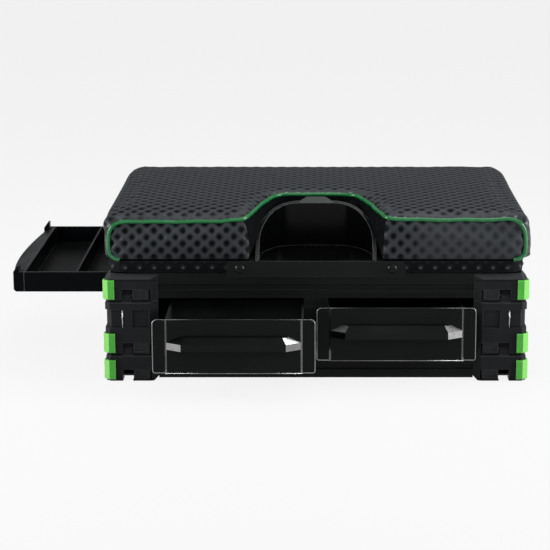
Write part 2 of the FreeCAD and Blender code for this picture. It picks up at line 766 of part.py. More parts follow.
# Side drawer: a shallow divided tray that leaves the top module on the left
def side_drawer():
    outer = -half_width - cell.side_drawer_out
    joint = outer + cell.side_end_thick
    half = side_leg_end - cell.side_tray_gap
    wall = cell.tray_wall
    low = side_tray_bottom
    top = low + cell.side_tray_height
    far = joint + cell.side_tray_length
    tray = new_body("side_drawer_tray")
    extrude(tray, "XY", low, top, [rectangle(joint, far, -half, half)])
    start = joint + wall
    count = int((cell.side_tray_length - wall).number // cell.side_compartment.number)
    spaces = []
    for index in range(count):
        left = start + cell.side_compartment * index
        right = left + cell.side_compartment - wall
        if index == count - 1:
            right = far - wall
        spaces.append(rectangle(left, right, -half + wall, half - wall))
    checked_cut(tray, "XY", low + wall, top + CUT_MARGIN, outlines=spaces)
    finished(tray, "side_drawer_tray")

    end = new_body("side_drawer_end")
    extrude(end, "XY", low, top, [rectangle(outer, joint, -half, half)])
    ear = cell.side_ear_width
    ear_inner = outer + cell.side_ear_thick
    ear_top = top + cell.side_ear_rise
    foot = cell.side_ear_foot
    for near, far_end in ((-half, -half + ear), (half - ear, half)):
        extrude(end, "XZ", near, far_end, [
            [(outer, low), (ear_inner, low), (ear_inner, ear_top),
             (ear_inner - cell.side_ear_top, ear_top), (outer, top)]])
    bow = outer - cell.side_end_bow
    extrude(end, "XY", low, top, bulges=[((outer, half - ear), (bow, 0), (outer, ear - half))])
    slope = cell.side_end_slope
    ledge = joint - cell.side_end_lip
    checked_cut(end, "XZ", -half + ear, half - ear, outlines=[
        [(ledge, top - cell.side_end_step), (ledge, top + CUT_MARGIN),
         (bow - CUT_MARGIN, top + CUT_MARGIN), (bow - CUT_MARGIN, top - slope)]])
    for near, far_end in ((-half, -half + ear), (half - ear, half)):
        checked_cut(end, "XZ", near, far_end, outlines=[
            [(outer, low), (outer + foot, low), (outer, low + foot)]])
    pull_end = half - ear - cell.side_pull_inset
    checked_cut(end, "XY", low - CUT_MARGIN, top - slope - wall, bulges=[
        ((outer, pull_end), (bow + cell.side_pull_wall, 0), (outer, -pull_end))])
    finished(end, "side_drawer_end")


def screw_places():
    height = board_top - cell.plate_screw_drop
    return [(sign * cell.plate_screw_spacing / 2, height) for sign in (-1, 1)]


# Seat: board, crowned pad with its notch, piping, pole cup, bolted plate and hinges
def seat_board():
    body = new_body("seat_board")
    half_x = board_half_width
    step = cell.board_step
    round_off = step + cell.board_radius
    middle = frame_top + cell.board_step_height
    extrude(body, "XY", middle, board_top, [rectangle(-half_x, half_x, board_front, board_rear)])
    dress(body, "Fillet", cell.board_radius, lambda edge: runs_along(edge, 2))
    extrude(body, "XY", frame_top, middle, [
        rectangle(-half_x + round_off, half_x - round_off, board_front + step, board_rear - step)])
    extrude(body, "XY", frame_top, middle, [
        rectangle(-half_x + step, half_x - step, board_front + round_off, board_rear - round_off)])
    cup_prism(body, cell.cup_pocket_gap, board_top - cell.cup_floor_sunk, board_top + CUT_MARGIN,
              board_front - CUT_MARGIN, cut=True)
    shank_end = board_front - cell.plate_thick + cell.screw_shank_length
    checked_cut(body, "XZ", board_front - CUT_MARGIN, shank_end, circles=[
        (x, z, cell.screw_shank_radius + cell.screw_hole_gap) for x, z in screw_places()])
    finished(body, "seat_board")


def pad_prism(name, plane, low, high, outline, rounds, bulges=()):
    """A prism with its long edges rounded, for the pad to be cut out of."""
    body = new_body(name)
    extrude(body, plane, low, high, [outline])
    if bulges:
        extrude(body, plane, low, high, bulges=bulges)
    for radius, corner in rounds:
        axis = {"XY": 2, "XZ": 1, "YZ": 0}[plane]
        first, second = {"XY": (0, 1), "XZ": (0, 2), "YZ": (1, 2)}[plane]
        dress(body, "Fillet", radius, lambda edge: (
            runs_along(edge, axis) and lies_at(edge, first, corner[0]) and lies_at(edge, second, corner[1])))
    return body


def rounded_path(points, radii):
    """A wire of straight runs through points, with a tangent arc at each inner point."""
    edges = []
    start = points[0]
    for before, corner, after, radius in zip(points, points[1:], points[2:], radii):
        incoming = (before - corner).normalize()
        outgoing = (after - corner).normalize()
        half_turn = incoming.getAngle(outgoing) / 2
        trim = radius / math.tan(half_turn)
        bisector = (incoming + outgoing).normalize()
        centre = corner + bisector * (radius / math.sin(half_turn))
        arc_start = corner + incoming * trim
        arc_end = corner + outgoing * trim
        edges.append(Part.LineSegment(start, arc_start).toShape())
        edges.append(Part.Arc(arc_start, centre - bisector * radius, arc_end).toShape())
        start = arc_end
    edges.append(Part.LineSegment(start, points[-1]).toShape())
    return Part.Wire(edges)


def notch_outline(height, front_half, waist_half, waist_at, rear_half, rear_at):
    """One level of the notch: open to the front, narrower at the waist and at the rear."""
    near = pad_front.number - cell.notch_radius.number
    places = [(front_half.number, near), (waist_half.number, waist_at.number),
              (rear_half.number, rear_at.number)]
    points = [Vector(-x, y, height.number) for x, y in places]
    points += [Vector(x, y, height.number) for x, y in reversed(places)]
    bends = [cell.notch_waist_radius.number, cell.notch_radius.number]
    path = rounded_path(points, bends + bends[::-1])
    return Part.Wire(path.Edges + [Part.LineSegment(points[-1], points[0]).toShape()])


def seat_pad():
    half_x = pad_half_width
    rear = pad_rear
    bottom = board_top
    front_top = bottom + cell.pad_front_height
    crown_top = bottom + cell.pad_crown_height
    rear_top = bottom + cell.pad_rear_height
    waist = half_x - cell.pad_waist
    plan = rectangle(-half_x, half_x, pad_front, rear)
    front_r, rear_r = cell.pad_front_radius, cell.pad_rear_radius
    plan_prism = pad_prism("pad_plan", "XY", bottom, crown_top + CUT_MARGIN, plan, [
        (front_r, plan[0]), (front_r, plan[1]), (rear_r, plan[2]), (rear_r, plan[3])])
    checked_cut(plan_prism, "XY", bottom - CUT_MARGIN, crown_top + CUT_MARGIN * 2, bulges=[
        ((sign * half_x, pad_front + front_r), (sign * waist, 0), (sign * half_x, rear - rear_r))
        for sign in (-1, 1)])
    front_view = rectangle(-half_x, half_x, bottom, crown_top)
    shoulder = cell.pad_shoulder_radius
    front_prism = pad_prism("pad_front_view", "XZ", pad_front - CUT_MARGIN, rear + CUT_MARGIN,
                            front_view, [(shoulder, front_view[2]), (shoulder, front_view[3])])
    side_view = [(pad_front, bottom), (pad_front, front_top), (rear, rear_top), (rear, bottom)]
    side_prism = pad_prism("pad_side_view", "YZ", -half_x - CUT_MARGIN, half_x + CUT_MARGIN, side_view, [
        (cell.pad_edge_radius, side_view[1]), (cell.pad_rear_edge_radius, side_view[2])],
        bulges=[(side_view[1], (0, crown_top), side_view[2])])
    crowned = doc.addObject("Part::MultiCommon", "pad_crowned")
    crowned.Shapes = [plan_prism, front_prism, side_prism]

    clear = cell.cup_flange + cell.notch_round_cup
    reach = cell.cup_half_width + clear
    lower = notch_outline(bottom - CUT_MARGIN, reach + cell.notch_foot_flare, reach,
                          cup_centre_y + reach * cell.notch_foot_waist,
                          reach * cell.notch_foot_rear_half, cup_rear + clear)
    upper = notch_outline(crown_top + CUT_MARGIN, cell.notch_front_half, cell.notch_waist_half,
                          pad_front + cell.notch_waist_depth, cell.notch_rear_half,
                          pad_front + cell.notch_depth)
    notch = doc.addObject("Part::Feature", "pad_notch")
    notch.Shape = Part.makeLoft([lower, upper], True, True)
    pad = doc.addObject("Part::Cut", "seat_pad")
    pad.Base = crowned
    pad.Tool = notch
    finished(pad, "seat_pad")


def seat_piping():
    """Piping round the edge of the front panel, hooked under at both ends."""
    inset = cell.piping_inset.number
    side = pad_half_width.number - inset
    front = pad_front.number + inset
    low = board_top.number + cell.piping_radius.number
    front_top = (board_top + cell.pad_front_height).number - inset + CUT_MARGIN
    crown_top = (board_top + cell.pad_crown_height).number
    hook = side - cell.piping_hook.number
    mouth = cell.notch_front_half.number
    rear_half = cell.notch_rear_half.number + inset
    rear_at = (pad_front + cell.notch_depth).number + CUT_MARGIN
    left = [Vector(-hook, front, low), Vector(-side, front, low), Vector(-side, front, front_top),
            Vector(-mouth, front, front_top), Vector(-rear_half, rear_at, crown_top)]
    right = [Vector(-place.x, place.y, place.z) for place in reversed(left)]
    bends = [cell.piping_hook_radius.number, cell.piping_shoulder_radius.number,
             cell.piping_notch_radius.number, cell.piping_notch_radius.number]
    path = rounded_path(left + right, bends + bends[::-1])
    start = path.Edges[0].Vertexes[0].Point
    sides = int(cell.piping_sides.number)
    spokes = [Vector(0, math.cos(turn), math.sin(turn)) * cell.piping_radius.number
              for turn in (2 * math.pi * (side + 0.5) / sides for side in range(sides + 1))]
    ring = Part.makePolygon([start + spoke for spoke in spokes])
    piping = doc.addObject("Part::Feature", "seat_piping")
    piping.Shape = path.makePipeShell([ring], True, False)
    finished(piping, "seat_piping")


def cup_prism(body, growth, low, high, front_at, cut=False):
    """The cup's outline as a prism: straight sides, and rear corners of two arcs each."""
    work = checked_cut if cut else extrude
    flat = cell.cup_flat_half
    across = cell.cup_half_width + growth - flat
    deep = cell.cup_reach + growth
    corner = []
    for turn in (math.radians(22.5 * step) for step in range(5)):
        corner.append((flat + across * math.cos(turn), cup_centre_y + deep * math.sin(turn)))
    right = [(flat + across, front_at)] + corner[::2]
    work(body, "XY", low, high, outlines=[right + [(-x, y) for x, y in reversed(right)]])
    for arc in (corner[0:3], corner[2:5]):
        work(body, "XY", low, high, bulges=[arc, [(-x, y) for x, y in arc]])


def rim_slab(body, thickness_up, thickness_down):
    """Everything between two planes that follow the sloping rim of the cup."""
    rear_at = cup_rear
    front_at = board_front + cell.cup_front_wall
    beyond = cell.cup_tab_length + cell.cup_flange
    slope = cell.cup_rim_rise / (rear_at - front_at)
    half = cell.cup_half_width + cell.cup_flange + CUT_MARGIN
    top_z = board_top + cell.cup_rim_rise
    extrude(body, "YZ", -half, half, [[
        (front_at, board_top - thickness_down), (rear_at + beyond, top_z + slope * beyond - thickness_down),
        (rear_at + beyond, top_z + slope * beyond + thickness_up), (front_at, board_top + thickness_up)]])


def pole_cup():
    front = board_front
    wall = cell.cup_wall
    low = board_top - cell.cup_floor_sunk
    half = cell.cup_half_width
    rear_at = cup_rear
    rim_front = front + cell.cup_front_wall
    top_z = board_top + cell.cup_rim_rise
    shell = new_body("cup_shell")
    cup_prism(shell, Size(0), low, top_z, front)
    cup_prism(shell, -wall, low + wall, top_z + CUT_MARGIN, rim_front, cut=True)
    above = cell.cup_rim_rise / (rear_at - rim_front) * CUT_MARGIN
    checked_cut(shell, "YZ", -half - CUT_MARGIN, half + CUT_MARGIN, outlines=[[
        (front - CUT_MARGIN, board_top), (rim_front, board_top), (rear_at + CUT_MARGIN, top_z + above),
        (front - CUT_MARGIN, top_z + above)]])
    ring = new_body("cup_ring")
    ring_top = top_z + cell.cup_rim_rise / 2
    cup_prism(ring, cell.cup_flange, board_top, ring_top, rim_front)
    tab_half = cell.cup_tab_half
    tab_end = rear_at + cell.cup_tab_length
    extrude(ring, "XY", board_top, ring_top, [[
        (-tab_half, cup_centre_y), (tab_half, cup_centre_y), (tab_half, rear_at),
        (cell.cup_tab_end_half, tab_end), (-cell.cup_tab_end_half, tab_end), (-tab_half, rear_at)]])
    cup_prism(ring, -wall, board_top - CUT_MARGIN, ring_top + CUT_MARGIN,
              rim_front - CUT_MARGIN, cut=True)
    slab = new_body("cup_slab")
    rim_slab(slab, Size(0), cell.cup_flange_thick)
    flange = doc.addObject("Part::MultiCommon", "cup_flange")
    flange.Shapes = [ring, slab]
    cup = doc.addObject("Part::Fuse", "pole_cup")
    cup.Base = shell
    cup.Tool = flange
    finished(cup, "pole_cup")


def front_plate():
    body = new_body("front_plate")
    half = cell.plate_width / 2
    high = board_top
    low = high - cell.plate_drop
    back = board_front
    corner = cell.plate_corner
    extrude(body, "XZ", back - cell.plate_thick, back, [[
        (-half + corner, low), (half - corner, low), (half, low + corner), (half, high - corner),
        (half - corner, high), (-half + corner, high), (-half, high - corner), (-half, low + corner)]])
    places = screw_places()
    checked_cut(body, "XZ", back - cell.plate_thick - CUT_MARGIN, back + CUT_MARGIN, circles=[
        (x, z, cell.screw_shank_radius + cell.screw_hole_gap) for x, z in places])
    finished(body, "front_plate")

    screws = new_body("plate_screws")
    face = back - cell.plate_thick
    extrude(screws, "XZ", face - cell.screw_head_height, face,
            circles=[(x, z, cell.screw_head_radius) for x, z in places])
    dress(screws, "Chamfer", cell.screw_head_bevel,
          lambda edge: lies_at(edge, 1, face - cell.screw_head_height))
    extrude(screws, "XZ", face, face + cell.screw_shank_length,
            circles=[(x, z, cell.screw_shank_radius) for x, z in places])
    flat = cell.screw_socket_flats / 2
    sockets = []
    for x, z in places:
        sockets.append([(x + flat * (2 * math.cos(angle) / math.sqrt(3)),
                         z + flat * (2 * math.sin(angle) / math.sqrt(3)))
                        for angle in (math.radians(60 * side) for side in range(6))])
    checked_cut(screws, "XZ", face - cell.screw_head_height - CUT_MARGIN,
                face - cell.screw_head_height + cell.screw_socket_depth, outlines=sockets)
    finished(screws, "plate_screws")


def hinges():
    half = cell.hinge_width / 2
    centres = [sign * (leg_end - cell.hinge_end_gap - half) for sign in (-1, 1)]
    inner = half - cell.knuckle_length
    around = cell.knuckle_radius + cell.knuckle_gap
    radius = cell.knuckle_radius
    thick = cell.hinge_leaf_thick

    fixed = new_body("fixed_hinge_leaves")
    extrude(fixed, "XZ", rail_face, rail_face + thick, [rectangle(
        centre - half, centre + half, hinge_z - around - cell.hinge_leaf, hinge_z - around)
        for centre in centres])
    moving = new_body("lid_hinge_leaves")
    leaf_top = hinge_z + around + cell.hinge_lid_leaf
    extrude(moving, "XZ", board_rear, board_rear + thick, [rectangle(
        centre - half, centre + half, hinge_z + around, leaf_top) for centre in centres])
    pins = new_body("lid_hinge_pins")
    for centre in centres:
        for low, high in ((-half, -inner), (inner, half)):
            extrude(fixed, "YZ", centre + low, centre + high, [rectangle(
                rail_face, hinge_y, hinge_z - around, hinge_z)])
            extrude(fixed, "YZ", centre + low, centre + high, circles=[(hinge_y, hinge_z, radius)])
        reach = inner - cell.knuckle_gap
        extrude(moving, "YZ", centre - reach, centre + reach, [rectangle(
            board_rear, hinge_y, hinge_z, hinge_z + around)])
        extrude(moving, "YZ", centre - reach, centre + reach, circles=[(hinge_y, hinge_z, radius)])
        extrude(pins, "YZ", centre - half - cell.hinge_pin_end, centre + half + cell.hinge_pin_end,
                circles=[(hinge_y, hinge_z, cell.hinge_pin_radius)])
    everywhere = (centres[0] - half - CUT_MARGIN, centres[1] + half + CUT_MARGIN)
    checked_cut(fixed, "YZ", *everywhere, circles=[(hinge_y, hinge_z, cell.hinge_pin_radius)])
    checked_cut(moving, "YZ", *everywhere, circles=[
        (hinge_y, hinge_z, cell.hinge_pin_radius + cell.pin_running_gap)])
    finished(fixed, "fixed_hinge_leaves")
    finished(moving, "lid_hinge_leaves")
    finished(pins, "lid_hinge_pins")


for module_name in MODULES:
    for corner_name in CORNERS:
        corner_casting(corner_name, module_name)
        latch_lever(corner_name, module_name)
    corner_inserts(module_name)
latch_pins()
rails()
floors()
front_drawer("left_drawer", -1, cell.left_drawer_out)
front_drawer("right_drawer", 1, cell.right_drawer_out)
side_drawer()
seat_board()
seat_pad()
seat_piping()
pole_cup()
front_plate()
hinges()
doc.recompute()

# Move the box so that the origin is the middle of its outline on the ground
outline = FreeCAD.BoundBox()
for piece in pieces:
    outline.add(piece.Shape.BoundBox)
shift = Vector(-outline.Center.x, -outline.Center.y, -outline.ZMin)
for piece in pieces:
    piece.Placement.Base = piece.Placement.Base + shift
doc.recompute()
print("shift", round(shift.x, 3), round(shift.y, 3), round(shift.z, 3))

for item in doc.Objects:
    if "Invalid" in item.State or "Error" in item.State:
        raise ValueError(f"{item.Label} failed: {item.State}")
for piece in pieces:
    if piece.Shape.isNull() or not piece.Shape.isValid() or not piece.Shape.Solids:
        raise ValueError(f"{piece.Label} has no valid solid")

os.makedirs("parts", exist_ok=True)
for piece in pieces:
    piece.Shape.exportStep(f"parts/{piece.Label}.step")
print(len(pieces), "pieces written")
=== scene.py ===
"""Fishing seat box as photographed: finishes, the padded seat with its piping, and bright edges.

Metres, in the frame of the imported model: X to the right, Y to the rear, Z up.
"""
import math
from fnmatch import fnmatch

import bmesh
import bpy
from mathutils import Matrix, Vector, noise
from mathutils.bvhtree import BVHTree
from mathutils.kdtree import KDTree


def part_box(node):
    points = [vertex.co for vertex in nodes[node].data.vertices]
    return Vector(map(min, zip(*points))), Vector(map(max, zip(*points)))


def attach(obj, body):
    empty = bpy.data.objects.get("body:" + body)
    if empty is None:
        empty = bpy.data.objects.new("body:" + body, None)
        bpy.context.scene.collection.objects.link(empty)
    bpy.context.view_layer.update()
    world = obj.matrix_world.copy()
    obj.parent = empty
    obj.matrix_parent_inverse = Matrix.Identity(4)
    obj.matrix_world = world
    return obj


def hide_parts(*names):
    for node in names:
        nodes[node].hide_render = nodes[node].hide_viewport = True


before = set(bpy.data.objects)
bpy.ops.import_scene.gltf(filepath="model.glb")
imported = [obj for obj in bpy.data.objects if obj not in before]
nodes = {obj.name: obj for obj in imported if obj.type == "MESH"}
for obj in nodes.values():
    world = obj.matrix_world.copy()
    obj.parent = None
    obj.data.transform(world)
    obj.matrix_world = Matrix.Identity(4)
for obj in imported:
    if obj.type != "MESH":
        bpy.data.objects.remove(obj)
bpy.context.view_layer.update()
bpy.context.scene.view_settings.view_transform = "Standard"

# Middle of the corner inserts, which the photograph's camera faces
inserts_low, inserts_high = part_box("base_corner_inserts")
MIDDLE = (inserts_low + inserts_high) / 2

# Camera fitted to the photograph: the lens in millimetres, the pitch in degrees below level
LENS = 127.6
CAMERA_AWAY = 2.644
CAMERA_HEIGHT = 0.6835
CAMERA_PITCH = 12.52
CAMERA_SHIFT = -0.0745

# Studio
BACKDROP = (0.921, 0.921, 0.921)
ROOM_LIGHT = (0.26, 0.265, 0.27)
FLOOR_COLOUR = (0.5, 0.5, 0.5)
FLOOR_GLOW = 0.86
FLOOR_HALF = 14.0

# Castings: the black of painted shade, the pitch of the modules, the painted shadow in the top of each
# latch window and the ribs' bright strips, which paint a highlight
SHADE_BLACK = (0.0006, 0.0007, 0.0007, 1)
UNIT_HEIGHT = 0.0354
PLAIN_UNIT = 2.5               # middle of the one unit without a window, in units
WINDOW_INNER = 0.2382          # from the middle of the box
WINDOW_OUTER = 0.2498
WINDOW_SHADE = 0.0080          # above the unit's foot
WINDOW_TOP = 0.0146
CAP_LINE = 0.1325              # painted shade line under the cap of the top module
CAP_LINE_WIDTH = 0.0009
RIB_ROUND = 0.0007
RIB_GAP = 0.0005               # from the ends of the highlight strip to the ledges
RIB_TOP_DROP = 0.0117
TRIM_SIDES = 8

# Drawer fronts: a raised field on a flange, both with bare edges, the top one in a darker copy that
# paints shade
FIELD_RAISE = 0.003
FIELD_INSET = 0.0155
UPPER_ROUND = 0.0055
LOWER_ROUND = 0.0025
TOP_TURN = 0.0060              # from the side to where the bright edge gives way to the darker top edge, which paints shade
EDGE_RADIUS = 0.00060
TOP_EDGE_RADIUS = 0.00042
FOOT_EDGE_RADIUS = 0.00048
EDGE_STEP = 0.002

# Cross wall in a front drawer's tray
DIVIDER_BACK = 0.1220          # behind the drawer's face
DIVIDER_THICK = 0.0018
DIVIDER_LIP = 0.006
DIVIDER_CHAMFER = 0.001
DIVIDER_ABOVE = 0.0005         # above the tray's rim
TRAY_WALL = 0.0022

# Side drawer: painted light on upward faces, paler towards its tray's front and darker towards the rear,
# and paler ledges just below its rim
FRONT_LIGHT_NEAR = 0.050
FRONT_LIGHT_FAR = 0.085
LEDGE_LOW = 0.010
LEDGE_HIGH = 0.006

# Turned-up edge of the top floor
LIP_HEIGHT = 0.005
LIP_THICK = 0.001

# Painted light on the upward-facing crest of the pole cup
CREST_DROP = 0.018             # below the cup's highest point
CREST_RISE = 0.004
CREST_HALF = (0.025, 0.020)

# Pits of the leatherette: a square net turned by 45 degrees, with a pit at a known place in front
DIMPLE_PITCH = 0.0186
DIMPLE_DEPTH = 0.0034
DIMPLE_SHARPNESS = 0.80
DIMPLE_ACROSS = -0.2355
DIMPLE_UP = 0.2092
TOP_SHARPNESS = 1.4
# painted shade: the top's pits are drawn darker than they are deep
TOP_SHADE = 1.25
RIGHT_CALM = 0.55              # how much shallower the right front panel's outer pits are
CALM_DEPTH = 0.92              # the same beside the piping
CALM_REACH = 0.0250

# Gathers beside the piping, with painted highlights on their crests
GATHER_AWAY = 0.0060           # from the piping's middle line
GATHER_REACH = 0.0028
GATHER_PITCH = 0.0140
GATHER_DEPTH = 0.0010
HIGHLIGHT_FROM = 0.35
HIGHLIGHT_GAIN = 2.2

# Painted shade on the walls of the notch, with a few painted glints
NOTCH_SHADE_SHOWS = 0.02
GLINT_SCALE = 140.0
GLINT_LEVEL = 0.34
GLINT_SHADE = 0.1

# Seat pad: its swelling, its full shape, and the folded seam beside the notch
PAD_VOXEL = 0.004
PAD_SHRINK = 0.0012
PAD_PRESSURE = 3.0
PAD_MOVE_CAP = 0.004
PAD_FRAMES = 20
PAD_HELD = 0.004               # height of the base that stays still
PAD_HALF_WIDTH = 0.2735
PAD_SIDE_ROUND = 0.028
PAD_SIDE_PUSH = 0.0078
PAD_LOWER_LEFT = 0.0035        # push of the left side below its upper edge
PAD_EDGE_UP = 0.0605           # where the front turns into the top, above the base
FRONT_SLOPE = 0.0050           # drop of the front's upper edge towards its left end
FOLD_ACROSS = 0.0865           # from the middle
FOLD_REACH = 0.0022
FOLD_PROUD = 0.0008

# Bands on the pad, over which a share goes from 0 at the first value to 1 at the second
SIDE_PART = (0.12, 0.25)         # from the middle
SIDE_FOOT = (0.0, 0.006)         # above the base
SIDE_UPPER = (0.030, 0.052)
PAD_FOOT = (0.002, 0.006)
GATHER_FOOT = (0.030, 0.040)
SLOPE_RISE = (0.02, PAD_EDGE_UP)
PANEL_BELOW = (0.004, -0.002)    # above the front's upper edge
PANEL_TURN = (0.15, 0.45)        # how squarely a face looks to the front
PANEL_BEHIND = (0.018, 0.009)    # behind the front
SLOPE_BEHIND = (0.06, 0.01)
NOTCH_SHADE_FROM = (0.003, 0.008)
NOTCH_SHADE_TO = (0.160, 0.150)
NOTCH_SHADE_ACROSS = (0.102, 0.098)   # from the middle
NOTCH_SHADE_BELOW = (0.0015, 0.0045)  # below the piping
ABOVE_PIPING = (0.0, 0.003)
BEHIND_PIPING = (0.002, 0.006)
RIGHT_PART = (0.10, 0.15)        # right of the middle
SIDE_WRAP = (0.045, 0.020)       # before the side
REAR_WRAP = (0.060, 0.030)       # before the rear
REAR_EASE = (0.020, 0.080)

# Fabric round the edge of the seat board, open where the bolted plate lies
COVER_PROUD = 0.0006
COVER_BUMP = 0.0020
COVER_STEP = 0.0016
COVER_UP = 0.1495              # height of its row of bumps
COVER_FOOT = 0.0022            # above the board's underside
COVER_TOP = 0.0003             # below the board's upper face
COVER_LEVELS = 11
COVER_ROUND = 0.022
COVER_TURNS = 8
# the cover's painted shade, and the painted highlights on its bumps
COVER_SHADE = 0.6
COVER_HIGHLIGHT = 1.35

# Piping
PIPING_RADIUS = 0.0026
PIPING_INSET = 0.0034          # behind the pad's front
PIPING_UP = 0.0563             # of its level runs, above the pad's base
PIPING_LEFT = 0.2683           # from the middle
PIPING_RIGHT = 0.2700
PIPING_LEFT_DROP = 0.0040
PIPING_HOOK = 0.016
PIPING_ROUNDS = [0.010, 0.025, 0.014, 0.022]
PIPING_STEP = 0.0025
PIPING_SPAN = 3                # points each side that even out its path
PIPING_PROUD = 0.35            # share of its radius that its middle line stands off the pad
NOTCH_FRONT_HALF = 0.090
NOTCH_REAR_HALF = 0.0534
NOTCH_REAR_IN = 0.141


def smooth_step(start, end, value):
    """0 before the start and 1 past the end, with an eased way between; the end may be the lower."""
    share = min(max((value - start) / (end - start), 0.0), 1.0)
    return share * share * (3 - 2 * share)


class Shader:
    """A material's node tree while it is being put together."""

    def __init__(self, name):
        self.material = bpy.data.materials.new(name)
        self.material.use_nodes = True
        self.tree = self.material.node_tree
        self.tree.nodes.clear()
        self.output = self.node("ShaderNodeOutputMaterial")
        self.place = self.node("ShaderNodeTexCoord").outputs["Object"]

    def node(self, kind, links=None, **settings):
        """Add a node; links are its inputs, each a value or another node's output."""
        item = self.tree.nodes.new(kind)
        for name, value in settings.items():
            setattr(item, name, value)
        for key, value in (links or {}).items():
            socket = item.inputs[key]
            if isinstance(value, bpy.types.NodeSocket):
                self.tree.links.new(value, socket)
            else:
                socket.default_value = value
        return item

    def stretched(self, scale):
        return self.node("ShaderNodeMapping", {"Vector": self.place, "Scale": scale}).outputs[0]

    def cloud(self, scale, detail=3.0, place=None, roughness=0.5):
        return self.node("ShaderNodeTexNoise", {
            "Vector": place or self.place, "Scale": scale, "Detail": detail,
            "Roughness": roughness}).outputs["Fac"]

    def spread(self, value, low, high, from_low=0.3, from_high=0.7):
        return self.node("ShaderNodeMapRange", {
            "Value": value, "From Min": from_low, "From Max": from_high,
            "To Min": low, "To Max": high}).outputs[0]

    def tint(self, factor, first, second):
        mix = self.node("ShaderNodeMix", {"Factor": factor, "A": (*first, 1), "B": (*second, 1)},
                        data_type="RGBA")
        return mix.outputs["Result"]

    def sums(self, operation, first, second):
        links = {0: first, 1: second}
        return self.node("ShaderNodeMath", links, operation=operation).outputs[0]

    def bump(self, height, strength, distance, under=None):
        links = {"Height": height, "Strength": strength, "Distance": distance}
        if under is not None:
            links["Normal"] = under
        return self.node("ShaderNodeBump", links).outputs[0]

    def edges(self, radius):
        """How strongly a point lies on an edge, from 0 on a flat to 1 on a corner."""
        rounded = self.node("ShaderNodeBevel", {"Radius": radius}, samples=4).outputs[0]
        plain = self.node("ShaderNodeNewGeometry").outputs["Normal"]
        along = self.node("ShaderNodeVectorMath", {0: rounded, 1: plain}, operation="DOT_PRODUCT")
        return self.spread(along.outputs["Value"], 1.0, 0.0, 0.80, 0.995)

    def crevice(self, reach):
        """1 in the open, down to 0 deep in a joint or a corner."""
        return self.node("ShaderNodeAmbientOcclusion", {"Distance": reach}, samples=6).outputs["AO"]

    def mixed(self, factor, first, second):
        links = {"Factor": factor, "A": first, "B": second}
        return self.node("ShaderNodeMix", links, data_type="RGBA").outputs["Result"]

    def normal(self, axis):
        place = self.node("ShaderNodeTexCoord").outputs["Normal"]
        return self.node("ShaderNodeSeparateXYZ", {0: place}).outputs[axis]

    def position(self, axis):
        return self.node("ShaderNodeSeparateXYZ", {0: self.place}).outputs[axis]

    def from_middle(self):
        """Distance to the left or right of the box's middle."""
        return self.sums("ABSOLUTE", self.sums("SUBTRACT", self.position(0), MIDDLE.x), 0.0)

    def within(self, value, low, high, soft=0.0003):
        """1 where a value lies between two limits."""
        rising = self.spread(value, 0.0, 1.0, low - soft, low)
        falling = self.spread(value, 1.0, 0.0, high, high + soft)
        return self.sums("MULTIPLY", rising, falling)

    def facing(self, sideways_from, sideways_to):
        """1 on faces turned to the left or right within limits, else 0."""
        sideways = self.sums("ABSOLUTE", self.normal(0), 0.0)
        low = self.spread(sideways, 0.0, 1.0, sideways_from - 0.06, sideways_from)
        high = self.spread(sideways, 1.0, 0.0, sideways_to, sideways_to + 0.04)
        return self.sums("MULTIPLY", low, high)

    def finish(self, **sockets):
        links = {key.replace("_", " "): value for key, value in sockets.items()}
        shader = self.node("ShaderNodeBsdfPrincipled", links)
        self.tree.links.new(shader.outputs[0], self.output.inputs["Surface"])
        return self.material


def latch_windows(shader):
    """1 in the shaded top of every latch window, one to a unit of height but for the plain one."""
    in_unit = shader.sums("MODULO", shader.position(2), UNIT_HEIGHT)
    window = shader.sums("MULTIPLY", shader.within(shader.from_middle(), WINDOW_INNER, WINDOW_OUTER),
                         shader.within(in_unit, WINDOW_SHADE, WINDOW_TOP))
    from_plain = shader.sums("SUBTRACT", shader.position(2), PLAIN_UNIT * UNIT_HEIGHT)
    plain = shader.within(shader.sums("ABSOLUTE", from_plain, 0.0), 0.0, UNIT_HEIGHT * 0.5)
    return shader.sums("MULTIPLY", window, shader.sums("SUBTRACT", 1.0, plain))


def textured_moulding(name, colour, worn, edge_reach, grain_scale, grain_depth, roughness, specular):
    """Moulded plastic with a fine spark-eroded grain; paler edges, part wear and part painted highlight;
    painted light on upward faces; painted shade in joints, in the latch windows and under the cap.
    """
    shader = Shader(name)
    patches = shader.cloud(22.0, 4.0)
    flecks = shader.cloud(grain_scale, 2.0)
    body = shader.tint(shader.spread(patches, 0.0, 1.0), colour, [c * 1.35 for c in colour])
    rubbed = shader.spread(shader.cloud(90.0), 0.55, 1.0)
    # paler edges in the worn colour: part rubbed wear, part painted highlight
    edge = shader.sums("MULTIPLY", shader.edges(edge_reach), rubbed)
    # painted light: faces turned upward are paler
    rising = shader.spread(shader.normal(2), 0.0, 1.0, 0.25, 0.5)
    shown = shader.mixed(rising, body, (*[c * 0.32 for c in worn], 1))
    shown = shader.mixed(edge, shown, (*worn, 1))
    # painted shade in joints and corners, from ambient occlusion
    joint = shader.spread(shader.crevice(0.010), 0.0, 1.0, 0.35, 0.92)
    shown = shader.mixed(joint, SHADE_BLACK, shown)
    # painted shadow in the top of the latch windows
    shown = shader.mixed(latch_windows(shader), shown, SHADE_BLACK)
    # painted shade line under the cap
    under_cap = shader.within(shader.position(2), CAP_LINE, CAP_LINE + CAP_LINE_WIDTH)
    upright = shader.spread(shader.normal(2), 1.0, 0.0, 0.1, 0.2)
    shown = shader.mixed(shader.sums("MULTIPLY", under_cap, upright), shown, SHADE_BLACK)
    return shader.finish(
        Base_Color=shown,
        Roughness=shader.spread(patches, roughness - 0.06, roughness + 0.08),
        Specular_IOR_Level=specular,
        Normal=shader.bump(flecks, 0.45, grain_depth))


